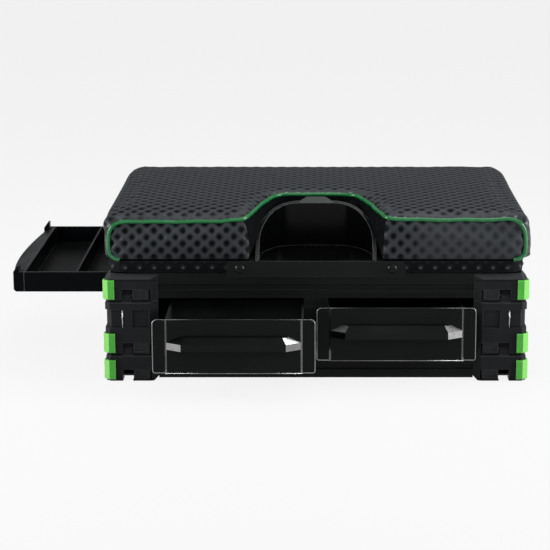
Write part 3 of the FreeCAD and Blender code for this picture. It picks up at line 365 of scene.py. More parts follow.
def anodised_rail(name, along):
    """Black anodised extrusion with faint draw lines along its length."""
    shader = Shader(name)
    scale = [700.0, 700.0, 700.0]
    scale[along] = 3.0
    lines = shader.cloud(1.0, 2.0, shader.stretched(scale))
    patches = shader.cloud(9.0, 3.0)
    body = shader.tint(shader.spread(lines, 0.0, 1.0),
                       (0.0042, 0.0052, 0.0048), (0.0072, 0.0084, 0.0079))
    return shader.finish(
        # paler edges: part wear, part painted highlight
        Base_Color=shader.mixed(shader.edges(0.0007), body, (0.030, 0.033, 0.032, 1)),
        Roughness=shader.spread(patches, 0.36, 0.5),
        Specular_IOR_Level=0.09,
        Normal=shader.bump(lines, 0.12, 0.0002))


def coated_sheet(name, colour, specular, roughness):
    """Half gloss black coating with a slight orange peel and paler edges, part rubbed wear and part
    painted highlight.
    """
    shader = Shader(name)
    peel = shader.cloud(420.0, 1.0)
    patches = shader.cloud(14.0, 4.0)
    body = shader.tint(shader.spread(patches, 0.0, 1.0), colour, [c * 1.5 for c in colour])
    return shader.finish(
        # paler edges: part rubbed wear, part painted highlight
        Base_Color=shader.mixed(shader.edges(0.0007), body, (0.045, 0.05, 0.05, 1)),
        Roughness=shader.spread(patches, roughness - 0.05, roughness + 0.07),
        Specular_IOR_Level=specular,
        Normal=shader.bump(peel, 0.10, 0.0003))


def polished_edge_sheet(name, colour, bright, sideways, specular, roughness):
    """Black coating whose slanted sides are polished to bare metal, with painted light on them.

    bright is the painted light on each kind of side, lighter or darker by how light falls on it: left
    low, left high, right low and right high.
    """
    shader = Shader(name)
    peel = shader.cloud(420.0, 1.0)
    patches = shader.cloud(14.0, 4.0)
    rubbed = shader.cloud(160.0, 3.0)
    polished = shader.facing(*sideways)
    body = shader.tint(shader.spread(patches, 0.0, 1.0), colour, [c * 1.5 for c in colour])
    # painted light: the bare sides' colour is set by which way they face
    turned_right = shader.spread(shader.normal(0), 0.0, 1.0, -0.05, 0.05)
    turned_up = shader.spread(shader.normal(2), 0.0, 1.0, 0.10, 0.16)
    low = shader.tint(turned_right, [bright[0]] * 3, [bright[2]] * 3)
    high = shader.tint(turned_right, [bright[1]] * 3, [bright[3]] * 3)
    metal = shader.mixed(turned_up, low, high)
    metal = shader.mixed(shader.spread(rubbed, 0.0, 0.25), metal, (0.0, 0.0, 0.0, 1))
    plain = shader.spread(patches, roughness - 0.05, roughness + 0.07)
    rough = shader.node("ShaderNodeMix", {0: polished, 2: plain, 3: 0.22}, data_type="FLOAT")
    return shader.finish(
        Base_Color=shader.mixed(polished, body, metal),
        Metallic=polished,
        Roughness=rough.outputs[0],
        Specular_IOR_Level=specular,
        Normal=shader.bump(peel, 0.10, 0.0003))


def ledge_moulding(name, colour, level, front_light_tone, low, high, specular, roughness):
    """Black moulding with painted light on its upward faces, paler towards the tray's front and just
    below its rim, paler edges of wear and painted highlight, and painted shade in its joints.
    """
    shader = Shader(name)
    peel = shader.cloud(520.0, 2.0)
    patches = shader.cloud(14.0, 4.0)
    body = shader.tint(shader.spread(patches, 0.0, 1.0), colour, [c * 1.5 for c in colour])
    # painted light: upward faces paler than the walls
    upward = shader.spread(shader.normal(2), 0.0, 1.0, 0.3, 0.8)
    ledge = shader.tint(shader.spread(peel, 0.0, 1.0), [c * 0.6 for c in level], level)
    # painted light: paler towards the tray's front, darker towards its rear
    near = shader.spread(shader.position(1), 1.0, 0.0, low.y + FRONT_LIGHT_NEAR, low.y + FRONT_LIGHT_FAR)
    front_lit = shader.mixed(near, (*[c * 0.10 for c in front_light_tone], 1), (*front_light_tone, 1))
    # painted light: ledges just below the rim paler still
    raised = shader.spread(shader.position(2), 0.0, 1.0, high.z - LEDGE_LOW, high.z - LEDGE_HIGH)
    shown = shader.mixed(upward, body, shader.mixed(raised, front_lit, ledge))
    # paler edges: part wear, part painted highlight
    shown = shader.mixed(shader.edges(0.0010), shown, (0.13, 0.135, 0.14, 1))
    # painted shade in joints and corners, from ambient occlusion
    joint = shader.spread(shader.crevice(0.02), 0.0, 1.0, 0.15, 0.75)
    shown = shader.mixed(joint, (0.0008, 0.0010, 0.0011, 1), shown)
    return shader.finish(
        Base_Color=shown,
        Roughness=shader.spread(patches, roughness - 0.05, roughness + 0.07),
        Specular_IOR_Level=specular,
        Normal=shader.bump(peel, 0.15, 0.0003))


def lime_insert():
    shader = Shader("lime_insert")
    patches = shader.cloud(40.0, 3.0)
    grain = shader.cloud(1500.0, 2.0)
    body = shader.tint(shader.spread(patches, 0.0, 1.0), (0.042, 0.360, 0.022), (0.058, 0.42, 0.030))
    # painted light: facets turned sideways are paler than the front one
    sideways = shader.spread(shader.sums("ABSOLUTE", shader.normal(0), 0.0), 0.0, 1.0, 0.30, 0.45)
    # painted highlight along the edges
    arris = shader.mixed(shader.edges(0.0008), shader.mixed(sideways, body, (0.155, 0.47, 0.080, 1)),
                         (0.30, 0.66, 0.20, 1))
    return shader.finish(
        Base_Color=arris,
        Roughness=shader.spread(patches, 0.26, 0.36),
        Specular_IOR_Level=0.5,
        Subsurface_Weight=0.08,
        Subsurface_Radius=(0.004, 0.006, 0.002),
        Subsurface_Scale=0.4,
        Normal=shader.bump(grain, 0.06, 0.0002))


def leatherette(name, dull, bright, ridge_light_tone, crest_highlight_tone, specular):
    """Coated fabric of the seat: fine grain, with painted light on ridges, painted highlights on crests
    and painted shade in pits.

    The mesh keeps each point's painted shade: 1 in a pit, 0 on a ridge and -1 on a crest with a painted
    highlight.
    """
    shader = Shader(name)
    patches = shader.cloud(7.0, 4.0)
    grain = shader.node("ShaderNodeTexVoronoi", {
        "Vector": shader.place, "Scale": 900.0, "Randomness": 1.0}, feature="F1").outputs["Distance"]
    weave = shader.cloud(1700.0, 2.0)
    height = shader.sums("ADD", grain, shader.sums("MULTIPLY", weave, 0.5))
    body = shader.tint(shader.spread(patches, 0.0, 1.0), dull, bright)
    pit = shader.node("ShaderNodeAttribute", attribute_name="pit").outputs["Fac"]
    # painted light on the ridges between pits
    ridge = shader.spread(pit, 0.45, 0.0, 0.0, 0.16)
    shown = shader.mixed(ridge, body, (*ridge_light_tone, 1))
    # painted highlight on crests
    shown = shader.mixed(shader.spread(pit, 1.0, 0.0, -0.9, -0.15), shown, (*crest_highlight_tone, 1))
    # painted shade in the pits
    deep = shader.spread(pit, 0.0, 0.94, 0.20, 0.66)
    shown = shader.mixed(deep, shown, (0.0022, 0.0026, 0.0030, 1))
    worn = shader.spread(patches, 0.36, 0.46)
    rough = shader.node("ShaderNodeMix", {0: deep, 2: worn, 3: 0.85}, data_type="FLOAT")
    return shader.finish(
        Base_Color=shown,
        Roughness=rough.outputs[0],
        Specular_IOR_Level=specular,
        Sheen_Weight=0.01,
        Sheen_Roughness=0.45,
        Sheen_Tint=(0.8, 0.85, 0.9, 1.0),
        Normal=shader.bump(height, 0.30, 0.00035))


def piping_cloth():
    """Green coated tape wound round a cord."""
    shader = Shader("piping_cloth")
    weave = shader.node("ShaderNodeTexVoronoi", {
        "Vector": shader.place, "Scale": 1300.0}, feature="F1").outputs["Distance"]
    patches = shader.cloud(60.0, 3.0)
    body = shader.tint(shader.spread(patches, 0.0, 1.0), (0.0024, 0.108, 0.025), (0.0050, 0.148, 0.035))
    return shader.finish(
        Base_Color=body,
        Roughness=shader.spread(weave, 0.18, 0.28, 0.1, 0.8),
        Specular_IOR_Level=0.50,
        Normal=shader.bump(weave, 0.20, 0.0003))


def gloss_moulding(name, colour, lit_crest_foot):
    """Polished moulding with faint flow marks, a few scuffs, painted highlights on its edges and painted
    light on the upward-facing crest in its middle.
    """
    shader = Shader(name)
    flow = shader.cloud(12.0, 2.0)
    scuffs = shader.cloud(260.0, 5.0, roughness=0.75)
    # painted light on the crest's upward faces
    crest = shader.sums("MULTIPLY",
                        shader.spread(shader.position(2), 0.0, 1.0, lit_crest_foot, lit_crest_foot + CREST_RISE),
                        shader.spread(shader.normal(2), 0.0, 1.0, 0.25, 0.4))
    outer, inner = CREST_HALF
    crest = shader.sums("MULTIPLY", crest, shader.spread(shader.from_middle(), 1.0, 0.0, inner, outer))
    # painted highlight along the edges
    shown = shader.mixed(shader.edges(0.0005), (*colour, 1), (0.26, 0.27, 0.27, 1))
    shown = shader.mixed(crest, shown, (0.027, 0.033, 0.030, 1))
    rough = shader.sums("ADD", shader.spread(flow, 0.16, 0.24),
                        shader.spread(scuffs, 0.0, 0.12, 0.55, 0.75))
    return shader.finish(
        Base_Color=shown,
        Roughness=rough,
        Specular_IOR_Level=0.10,
        Normal=shader.bump(flow, 0.15, 0.002))


def dark_steel(name, colour, roughness):
    """Zinc plated steel with fine tool marks."""
    shader = Shader(name)
    marks = shader.cloud(1.0, 3.0, shader.stretched([60.0, 900.0, 900.0]))
    patches = shader.cloud(120.0, 3.0)
    body = shader.tint(shader.spread(patches, 0.0, 1.0), colour, [min(c * 1.4, 1.0) for c in colour])
    return shader.finish(
        Base_Color=body,
        Metallic=1.0,
        Roughness=shader.spread(marks, roughness - 0.08, roughness + 0.1),
        Normal=shader.bump(marks, 0.15, 0.0002))


def studio_surface(name, colour, glow):
    """Pale surface that shows evenly to the camera and in gloss, and keeps the object's shadow."""
    shader = Shader(name)
    faint = shader.cloud(3.0, 2.0)
    path = shader.node("ShaderNodeLightPath")
    seen = shader.sums("MAXIMUM", path.outputs["Is Camera Ray"], path.outputs["Is Glossy Ray"])
    seen = shader.sums("MAXIMUM", seen, path.outputs["Is Transmission Ray"])
    matt = shader.node("ShaderNodeBsdfDiffuse", {
        "Color": shader.tint(faint, colour, [c * 0.99 for c in colour])})
    even = shader.node("ShaderNodeEmission", {"Color": (1.0, 1.0, 1.0, 1), "Strength": 1.0})
    share = shader.sums("MULTIPLY", seen, glow)
    mix = shader.node("ShaderNodeMixShader", {0: share, 1: matt.outputs[0], 2: even.outputs[0]})
    shader.tree.links.new(mix.outputs[0], shader.output.inputs["Surface"])
    return shader.material


def use(obj, material):
    obj.data.materials.clear()
    obj.data.materials.append(material)


def add_object(name, mesh):
    obj = bpy.data.objects.new(name, mesh)
    bpy.context.scene.collection.objects.link(obj)
    return obj


def mesh_from(name, points, faces):
    mesh = bpy.data.meshes.new(name)
    mesh.from_pydata([tuple(point) for point in points], [], faces)
    mesh.update()
    return mesh


def tidy_normals(mesh):
    work = bmesh.new()
    work.from_mesh(mesh)
    bmesh.ops.recalc_face_normals(work, faces=work.faces)
    work.to_mesh(mesh)
    work.free()


# Camera, light and backdrop
def add_camera():
    camera = bpy.data.cameras.new("camera")
    camera.lens = LENS
    camera.sensor_width = 36.0
    camera.shift_x = CAMERA_SHIFT
    camera.clip_end = 100.0
    obj = bpy.data.objects.new("camera", camera)
    obj.location = (MIDDLE.x, MIDDLE.y - CAMERA_AWAY, CAMERA_HEIGHT)
    obj.rotation_euler = (math.radians(90 - CAMERA_PITCH), 0.0, 0.0)
    bpy.context.scene.collection.objects.link(obj)
    bpy.context.scene.camera = obj


def add_softbox(name, place, size, power, target):
    lamp = bpy.data.lights.new(name, "AREA")
    lamp.shape = "RECTANGLE"
    lamp.size, lamp.size_y = size
    lamp.energy = power
    obj = bpy.data.objects.new(name, lamp)
    obj.location = MIDDLE + Vector(place)
    facing = MIDDLE + Vector(target) - obj.location
    obj.rotation_euler = facing.to_track_quat("-Z", "Y").to_euler()
    bpy.context.scene.collection.objects.link(obj)


def add_studio():
    world = bpy.data.worlds.new("studio")
    bpy.context.scene.world = world
    world.use_nodes = True
    tree = world.node_tree
    tree.nodes.clear()
    output = tree.nodes.new("ShaderNodeOutputWorld")
    path = tree.nodes.new("ShaderNodeLightPath")
    soft = tree.nodes.new("ShaderNodeBackground")
    soft.inputs["Color"].default_value = (*ROOM_LIGHT, 1)
    pale = tree.nodes.new("ShaderNodeBackground")
    pale.inputs["Color"].default_value = (*BACKDROP, 1)
    mix = tree.nodes.new("ShaderNodeMixShader")
    tree.links.new(path.outputs["Is Camera Ray"], mix.inputs[0])
    tree.links.new(soft.outputs[0], mix.inputs[1])
    tree.links.new(pale.outputs[0], mix.inputs[2])
    tree.links.new(mix.outputs[0], output.inputs[0])

    add_softbox("left_softbox", (-1.6, -0.40, 0.55), (0.7, 0.9), 30.0, (0, 0, 0.1))
    add_softbox("right_softbox", (1.6, -0.40, 0.55), (0.7, 0.9), 35.0, (0, 0, 0.1))
    add_softbox("top_softbox", (0.3, 0.2, 1.7), (1.3, 1.0), 13.0, (0, 0, 0))
    add_softbox("front_softbox", (0.0, -2.2, 1.6), (1.6, 0.6), 12.0, (0, 0, 0.1))

    turns = ((-1, -1), (1, -1), (1, 1), (-1, 1))
    corners = [(x * FLOOR_HALF, y * FLOOR_HALF, 0) for x, y in turns]
    floor = add_object("floor", mesh_from("floor", corners, [(0, 1, 2, 3)]))
    use(floor, studio_surface("pale_floor", FLOOR_COLOUR, FLOOR_GLOW))


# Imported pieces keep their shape; their sharp edges get a small round
def round_edges(obj, width, segments):
    flat = obj.modifiers.new("join_flats", "DECIMATE")
    flat.decimate_type = "DISSOLVE"
    flat.angle_limit = math.radians(0.4)
    bevel = obj.modifiers.new("edge_round", "BEVEL")
    bevel.width = width
    bevel.segments = segments
    bevel.limit_method = "ANGLE"
    bevel.angle_limit = math.radians(28)
    bevel.use_clamp_overlap = True


def make_finishes():
    """The hard finishes, by the name that the rows below and the added pieces use."""
    side_low, side_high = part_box("side_drawer_tray")
    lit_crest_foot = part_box("pole_cup")[1].z - CREST_DROP
    return {
        "casting": textured_moulding("casting_plastic", (0.0098, 0.0105, 0.0118), (0.090, 0.094, 0.100),
                                     0.0009, 850.0, 0.0006, 0.46, 0.10),
        "lever": textured_moulding("lever_plastic", (0.0175, 0.0185, 0.0200), (0.11, 0.113, 0.120),
                                   0.0004, 1100.0, 0.0004, 0.42, 0.12),
        "lime": lime_insert(),
        "rail_left_right": anodised_rail("rail_left_right", 0),
        "rail_front_rear": anodised_rail("rail_front_rear", 1),
        "floor": coated_sheet("floor_sheet", (0.004, 0.005, 0.005), 0.06, 0.5),
        "tray": coated_sheet("tray_coat", (0.0120, 0.0140, 0.0136), 0.08, 0.40),
        "drawer": polished_edge_sheet("drawer_coat", (0.0036, 0.0050, 0.0045), (0.15, 0.15, 0.15, 0.15),
                                      (0.35, 0.90), 0.08, 0.33),
        # handles: their bare sides painted lighter or darker by which way they face
        "left_handle": polished_edge_sheet("left_handle_coat", (0.0042, 0.0050, 0.0050),
                                           (0.36, 0.022, 0.27, 0.85), (0.30, 1.20), 0.09, 0.30),
        "right_handle": polished_edge_sheet("right_handle_coat", (0.0055, 0.0064, 0.0062),
                                            (0.030, 0.32, 0.50, 0.95), (0.30, 1.20), 0.09, 0.30),
        "side_drawer": ledge_moulding("side_drawer_moulding", (0.0014, 0.0021, 0.0025),
                                      (0.010, 0.0115, 0.013), (0.038, 0.041, 0.045),
                                      side_low, side_high, 0.035, 0.36),
        "cup": gloss_moulding("cup_moulding", (0.0014, 0.0020, 0.0016), lit_crest_foot),
        "plate": coated_sheet("plate_coat", (0.0050, 0.0060, 0.0056), 0.10, 0.36),
        "screw": coated_sheet("screw_black", (0.0036, 0.0042, 0.0042), 0.12, 0.34),
        "steel": dark_steel("dark_steel", (0.20, 0.20, 0.21), 0.34),
        "bright_edge": dark_steel("bare_arris", (0.22, 0.225, 0.225), 0.30),
        # darker copy of the bare arris for the drawers' top edges: painted shade
        "shaded_top_edge": dark_steel("shaded_arris", (0.055, 0.058, 0.058), 0.36),
        # bright strip on the ribs' edges: painted highlight
        "rib_highlight_strip": dark_steel("rib_highlight_strip", (0.42, 0.43, 0.43), 0.34),
    }


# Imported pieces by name, the first row that fits: their finish, and the width and steps of edge rounds
DRESS = [
    ("*_casting", "casting", 0.0005, 2),
    ("*_lever", "lever", 0.0003, 2),
    ("*_inserts", "lime", 0.0004, 2),
    ("*_left_rail", "rail_front_rear", 0.0004, 2),
    ("*_right_rail", "rail_front_rear", 0.0004, 2),
    ("*_rail", "rail_left_right", 0.0004, 2),
    ("centre_post", "rail_left_right", 0.0004, 2),
    ("*_floor", "floor", None, None),
    ("seat_board", "floor", None, None),
    ("side_drawer_*", "side_drawer", 0.0006, 2),
    ("left_drawer_handle", "left_handle", 0.0005, 2),
    ("right_drawer_handle", "right_handle", 0.0005, 2),
    ("*_drawer_front", "drawer", 0.0011, 2),
    ("*_drawer_tray", "tray", 0.0006, 2),
    ("pole_cup", "cup", 0.0009, 3),
    ("front_plate", "plate", 0.0006, 2),
    ("plate_screws", "screw", 0.0004, 2),
    ("*_hinge_*", "steel", None, None),
    ("latch_pins", "steel", None, None),
]


def dress_packed_pieces(finishes):
    for name, obj in nodes.items():
        for pattern, finish, width, segments in DRESS:
            if fnmatch(name, pattern):
                use(obj, finishes[finish])
                if width:
                    round_edges(obj, width, segments)
                break


def add_drawer_edge(side, finishes):
    """Bare arris round the flange of a drawer front, a darker copy of it along the top as painted shade,
    and one along the foot of its raised field.
    """
    low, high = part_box(f"{side}_drawer_front")
    face = low.y + FIELD_RAISE
    corners = [(low.x, high.z, UPPER_ROUND), (low.x, low.z, LOWER_ROUND),
               (high.x, low.z, LOWER_ROUND), (high.x, high.z, UPPER_ROUND)]
    top = [Vector((x, face, high.z)) for x in (low.x + TOP_TURN, high.x - TOP_TURN)]
    points = top[:1] + [Vector((x, face, z)) for x, z, _ in corners] + top[1:]
    rim = rounded_route(points, [radius for _, _, radius in corners], EDGE_STEP)
    foot = [Vector((x, low.y, low.z)) for x in (low.x + FIELD_INSET, high.x - FIELD_INSET)]
    for part, path, radius, finish in (("edge", rim, EDGE_RADIUS, "bright_edge"),
                                       ("top_edge", top, TOP_EDGE_RADIUS, "shaded_top_edge"),
                                       ("foot_edge", foot, FOOT_EDGE_RADIUS, "bright_edge")):
        name = f"{side}_drawer_{part}"
        trim = add_object(name, tube(name, path, radius, TRIM_SIDES))
        use(trim, finishes[finish])
        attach(trim, f"{side}_drawer")


def add_divider(side, finishes):
    """Cross wall with a turned lip near the front of a drawer's tray."""
    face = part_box(f"{side}_drawer_front")[0].y
    low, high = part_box(f"{side}_drawer_tray")
    front = face + DIVIDER_BACK
    rear = front + DIVIDER_THICK
    lip = front + DIVIDER_LIP
    foot = low.z + TRAY_WALL
    top = high.z + DIVIDER_ABOVE
    under = top - DIVIDER_THICK
    chamfer = DIVIDER_CHAMFER
    profile = [(front, foot), (front, top - chamfer), (front + chamfer, top), (lip, top),
               (lip, under), (rear + chamfer, under), (rear, under - chamfer), (rear, foot)]
    ends = (low.x + TRAY_WALL, high.x - TRAY_WALL)
    points = [(x, y, z) for x in ends for y, z in profile]
    count = len(profile)
    faces = [tuple(range(count)), tuple(reversed(range(count, 2 * count)))]
    faces += [(i, (i + 1) % count, (i + 1) % count + count, i + count) for i in range(count)]
    mesh = mesh_from(f"{side}_drawer_divider", points, faces)
    tidy_normals(mesh)
    divider = add_object(f"{side}_drawer_divider", mesh)
    use(divider, finishes["tray"])
    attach(divider, f"{side}_drawer")


def add_floor_lip(finishes):
    """Turned-up edge of the top floor, which closes the slit under the rails round it."""
    low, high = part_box("top_floor")
    rear_low, rear_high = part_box("top_rear_rail")
    right_low, right_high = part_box("top_right_rail")
    strips = [(rear_low.x, high.y - LIP_THICK, rear_high.x, high.y),
              (rear_low.x, low.y, rear_high.x, low.y + LIP_THICK),
              (high.x - LIP_THICK, right_low.y, high.x, right_high.y)]
    points, faces = [], []
    for left, front, right, back in strips:
        first = len(points)
        for z in (high.z, high.z + LIP_HEIGHT):
            points += [(left, front, z), (right, front, z), (right, back, z), (left, back, z)]
        walls = [(i, (i + 1) % 4, (i + 1) % 4 + 4, i + 4) for i in range(4)]
        for face in [(3, 2, 1, 0), (4, 5, 6, 7)] + walls:
            faces.append([first + corner for corner in face])
    lip = add_object("top_floor_lip", mesh_from("top_floor_lip", points, faces))
    use(lip, finishes["floor"])
    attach(lip, "frame")


def add_rib_edges(finishes):
    """Bright metal strip down the outer edge of the rib on each middle casting, a painted highlight."""
    foot = 2 * UNIT_HEIGHT + RIB_GAP
    top = 3 * UNIT_HEIGHT - RIB_TOP_DROP - RIB_GAP
    for corner in ("front_left", "front_right", "rear_left", "rear_right"):
        low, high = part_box(f"{corner}_middle_casting")
        face = low.y if corner.startswith("front") else high.y
        across = MIDDLE.x + (WINDOW_OUTER if corner.endswith("right") else -WINDOW_OUTER)
        path = [Vector((across, face, foot)), Vector((across, face, top))]
        name = f"{corner}_rib_edge"
        trim = add_object(name, tube(name, path, RIB_ROUND, TRIM_SIDES))
        use(trim, finishes["rib_highlight_strip"])
        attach(trim, "frame")


# Seat pad
def dimple(across, up):
    """Depth share of the pit pattern at a place on the unrolled fabric, from 0 to 1."""
    first = (across + up) / DIMPLE_PITCH
    second = (across - up) / DIMPLE_PITCH
    a = 0.5 + 0.5 * math.cos(2 * math.pi * first)
    b = 0.5 + 0.5 * math.cos(2 * math.pi * second)
    return (a * b) ** DIMPLE_SHARPNESS


def remember_shades(mesh, shares):
    """Keep each point's painted shade, which the fabric's material reads."""
    layer = mesh.attributes.new("pit", "FLOAT", "POINT")
    layer.data.foreach_set("value", shares)


def pad_mesh():
    source = nodes["seat_pad"]
    low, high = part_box("seat_pad")
    pad = add_object("padded_seat", source.data.copy())
    shrink = pad.modifiers.new("shrink", "DISPLACE")
    shrink.strength = -PAD_SHRINK
    shrink.mid_level = 0.0
    voxels = pad.modifiers.new("remesh", "REMESH")
    voxels.mode = "VOXEL"
    voxels.voxel_size = PAD_VOXEL
    apply_modifiers(pad)
    return pad, low, high


def apply_modifiers(obj):
    graph = bpy.context.evaluated_depsgraph_get()
    mesh = bpy.data.meshes.new_from_object(obj.evaluated_get(graph), depsgraph=graph)
    obj.modifiers.clear()
    old = obj.data
    obj.data = mesh
    bpy.data.meshes.remove(old)


def swell(pad, low):
    """Blow the pad up like stuffed fabric, with its base held still."""
    rest = [vertex.co.copy() for vertex in pad.data.vertices]
    held = pad.vertex_groups.new(name="held")
    base = low.z + PAD_HELD
    for vertex in pad.data.vertices:
        if vertex.co.z < base:
            held.add([vertex.index], 1.0, "REPLACE")
    cloth = pad.modifiers.new("cloth", "CLOTH")
    cloth.settings.quality = 5
    cloth.settings.mass = 0.3
    cloth.settings.tension_stiffness = 25
    cloth.settings.compression_stiffness = 25
    cloth.settings.bending_stiffness = 2.0
    cloth.settings.use_pressure = True
    cloth.settings.uniform_pressure_force = PAD_PRESSURE
    cloth.settings.vertex_group_mass = "held"
    cloth.settings.effector_weights.gravity = 0.0
    cloth.collision_settings.use_collision = False
    scene = bpy.context.scene
    cloth.point_cache.frame_start = 1
    cloth.point_cache.frame_end = PAD_FRAMES
    for step in range(1, PAD_FRAMES + 1):
        scene.frame_set(step)
    graph = bpy.context.evaluated_depsgraph_get()
    moved = [vertex.co.copy() for vertex in pad.evaluated_get(graph).data.vertices]
    pad.modifiers.clear()
    scene.frame_set(1)
    for vertex, start, end in zip(pad.data.vertices, rest, moved):
        step = end - start
        if step.length > PAD_MOVE_CAP:
            step = step.normalized() * PAD_MOVE_CAP
        vertex.co = start + step


def square_up(pad, low, high):
    """Push the sides out to the cushion's full width, and square up its upper side edges."""
    centre_x = PAD_HALF_WIDTH - PAD_SIDE_ROUND
    centre_z = high.z - PAD_SIDE_ROUND
    for vertex in pad.data.vertices:
        x = vertex.co.x - MIDDLE.x
        z = vertex.co.z
        upper = smooth_step(*SIDE_UPPER, z - low.z)
        left_push = PAD_LOWER_LEFT + (PAD_SIDE_PUSH - PAD_LOWER_LEFT) * upper
        push = PAD_SIDE_PUSH if x > 0 else left_push
        reach = abs(x)
        reach += push * smooth_step(*SIDE_PART, reach) * smooth_step(*SIDE_FOOT, z - low.z)
        out = reach - centre_x
        up = z - centre_z
        if out > 0 and up > 0:
            stretch = math.hypot(out, up) / (out ** 4 + up ** 4) ** 0.25
            reach = centre_x + out * stretch
            z += up * (stretch - 1.0) * smooth_step(*REAR_EASE, high.y - vertex.co.y)
        vertex.co.x = MIDDLE.x + math.copysign(reach, x)
        vertex.co.z = z
    pad.data.update()


def measured(route):
    """The points of a route in a search tree, and the length of the route up to each."""
    tree = KDTree(len(route))
    lengths = [0.0]
    for index, place in enumerate(route):
        tree.insert(place, index)
        if index:
            lengths.append(lengths[-1] + (place - route[index - 1]).length)
    tree.balance()
    return tree, lengths


def front_panel(place, normal, low):
    """1 on the flat front of the pad, 0 on its top, sides and notch."""
    panel = smooth_step(*PANEL_BEHIND, place.y - low.y) * smooth_step(*PANEL_TURN, -normal.y)
    return panel * smooth_step(*PANEL_BELOW, place.z - low.z - PAD_EDGE_UP)


def front_pits(place):
    """Pit share on the front, where the right panel's outer pits are shallow."""
    across = place.x - MIDDLE.x
    return dimple(across - DIMPLE_ACROSS, place.z - DIMPLE_UP) * (
        1.0 - RIGHT_CALM * smooth_step(*RIGHT_PART, across))


def top_pits(place, high):
    """Pit share on the top, whose net runs on down the sides and the rear."""
    across = place.x - MIDDLE.x
    drop = high.z - place.z
    side = smooth_step(*SIDE_WRAP, PAD_HALF_WIDTH - abs(across))
    rear = smooth_step(*REAR_WRAP, high.y - place.y)
    unrolled = across + math.copysign(drop * side, across)
    return dimple(unrolled - DIMPLE_ACROSS, place.y + drop * rear - MIDDLE.y)


def notch_shade_mask(place, low, piping):
    """1 on the walls of the notch under the piping, where shade is painted, 0 elsewhere."""
    behind = place.y - low.y
    notch_shade = smooth_step(*NOTCH_SHADE_BELOW, piping.z - place.z) * smooth_step(*NOTCH_SHADE_FROM, behind)
    return notch_shade * smooth_step(*NOTCH_SHADE_TO, behind) * smooth_step(*NOTCH_SHADE_ACROSS, abs(place.x - MIDDLE.x))


def cloth_shade(pit, notch_shade, crest, place):
    """Painted shade of a point: 1 in a pit or in the shaded notch, 0 on a ridge and -1 on a crest with a
    painted highlight.
    """
    if crest > HIGHLIGHT_FROM:
        return -min((crest - HIGHLIGHT_FROM) * HIGHLIGHT_GAIN, 1.0)
    if notch_shade > NOTCH_SHADE_SHOWS:
        # painted glints on the notch's right wall
        glint = noise.noise(place * GLINT_SCALE) > GLINT_LEVEL and place.x > MIDDLE.x
        return pit * (1.0 - notch_shade) + notch_shade * (GLINT_SHADE if glint else 1.0)
    return pit


def press_dimples(pad, low, high, route):
    """Sink the pits into the pad, gather it beside the piping and fold a seam beside the notch.

    It returns whether each point lies in the notch's painted shade.
    """
    mesh = pad.data
    piping, lengths = measured(route)
    normals = [vertex.normal.copy() for vertex in mesh.vertices]
    shades = []
    in_notch_shade = []
    for vertex, normal in zip(mesh.vertices, normals):
        place = vertex.co
        x = place.x - MIDDLE.x
        up = place.z - low.z
        nearest, index, away = piping.find(place)
        panel = front_panel(place, normal, low)
        notch_shade = notch_shade_mask(place, low, nearest)
        beyond = min(smooth_step(*ABOVE_PIPING, place.z - nearest.z)
                     + smooth_step(*BEHIND_PIPING, place.y - nearest.y), 1.0)
        front = panel * front_pits(place)
        top = (1.0 - panel) * top_pits(place, high)
        calm = 1.0 - CALM_DEPTH * smooth_step(CALM_REACH, CALM_REACH / 2, away) * beyond
        pit = (front + top ** TOP_SHARPNESS * calm) * smooth_step(*PAD_FOOT, up) * (1.0 - notch_shade)
        gather = math.exp(-((away - GATHER_AWAY) / GATHER_REACH) ** 2) * beyond * (1.0 - notch_shade)
        gather *= smooth_step(*GATHER_FOOT, up)
        crest = gather * math.cos(2 * math.pi * lengths[index] / GATHER_PITCH)
        fold = math.exp(-((abs(x) - FOLD_ACROSS) / FOLD_REACH) ** 2) * panel
        slope = min(x / PAD_HALF_WIDTH, 0.0) * FRONT_SLOPE
        slope *= smooth_step(*SLOPE_RISE, up) * smooth_step(*SLOPE_BEHIND, place.y - low.y)
        shades.append(cloth_shade(front + top * calm * TOP_SHADE, notch_shade, crest, place))
        in_notch_shade.append(notch_shade > 0.5)
        vertex.co = place + normal * (crest * GATHER_DEPTH + fold * FOLD_PROUD - pit * DIMPLE_DEPTH)
        vertex.co.z += slope
    mesh.update()
    remember_shades(mesh, shades)
    return in_notch_shade


def add_seat_pad(route):
    pad, low, high = pad_mesh()
    swell(pad, low)
    even = pad.modifiers.new("even", "SMOOTH")
    even.factor = 0.5
    even.iterations = 9
    finer = pad.modifiers.new("finer", "SUBSURF")
    finer.levels = 1
    finer.render_levels = 1
    apply_modifiers(pad)
    square_up(pad, low, high)
    in_notch_shade = press_dimples(pad, low, high, route)
    pad.data.shade_smooth()
    # fabric with painted light on its ridges and painted shade in its pits
    use(pad, leatherette("leatherette", (0.022, 0.0245, 0.0275), (0.0285, 0.0315, 0.0355),
                         (0.051, 0.056, 0.062), (0.17, 0.175, 0.18), 0.13))
    # darker copy of the fabric for the notch walls: painted shade
    pad.data.materials.append(leatherette("notch_shaded_cloth", (0.004, 0.0045, 0.005), (0.006, 0.0068, 0.0075),
                                          (0.010, 0.011, 0.012), (0.12, 0.125, 0.13), 0.02))
    for face in pad.data.polygons:
        face.material_index = int(all(in_notch_shade[index] for index in face.vertices))
    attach(pad, "seat_lid")
    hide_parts("seat_pad")
    return pad


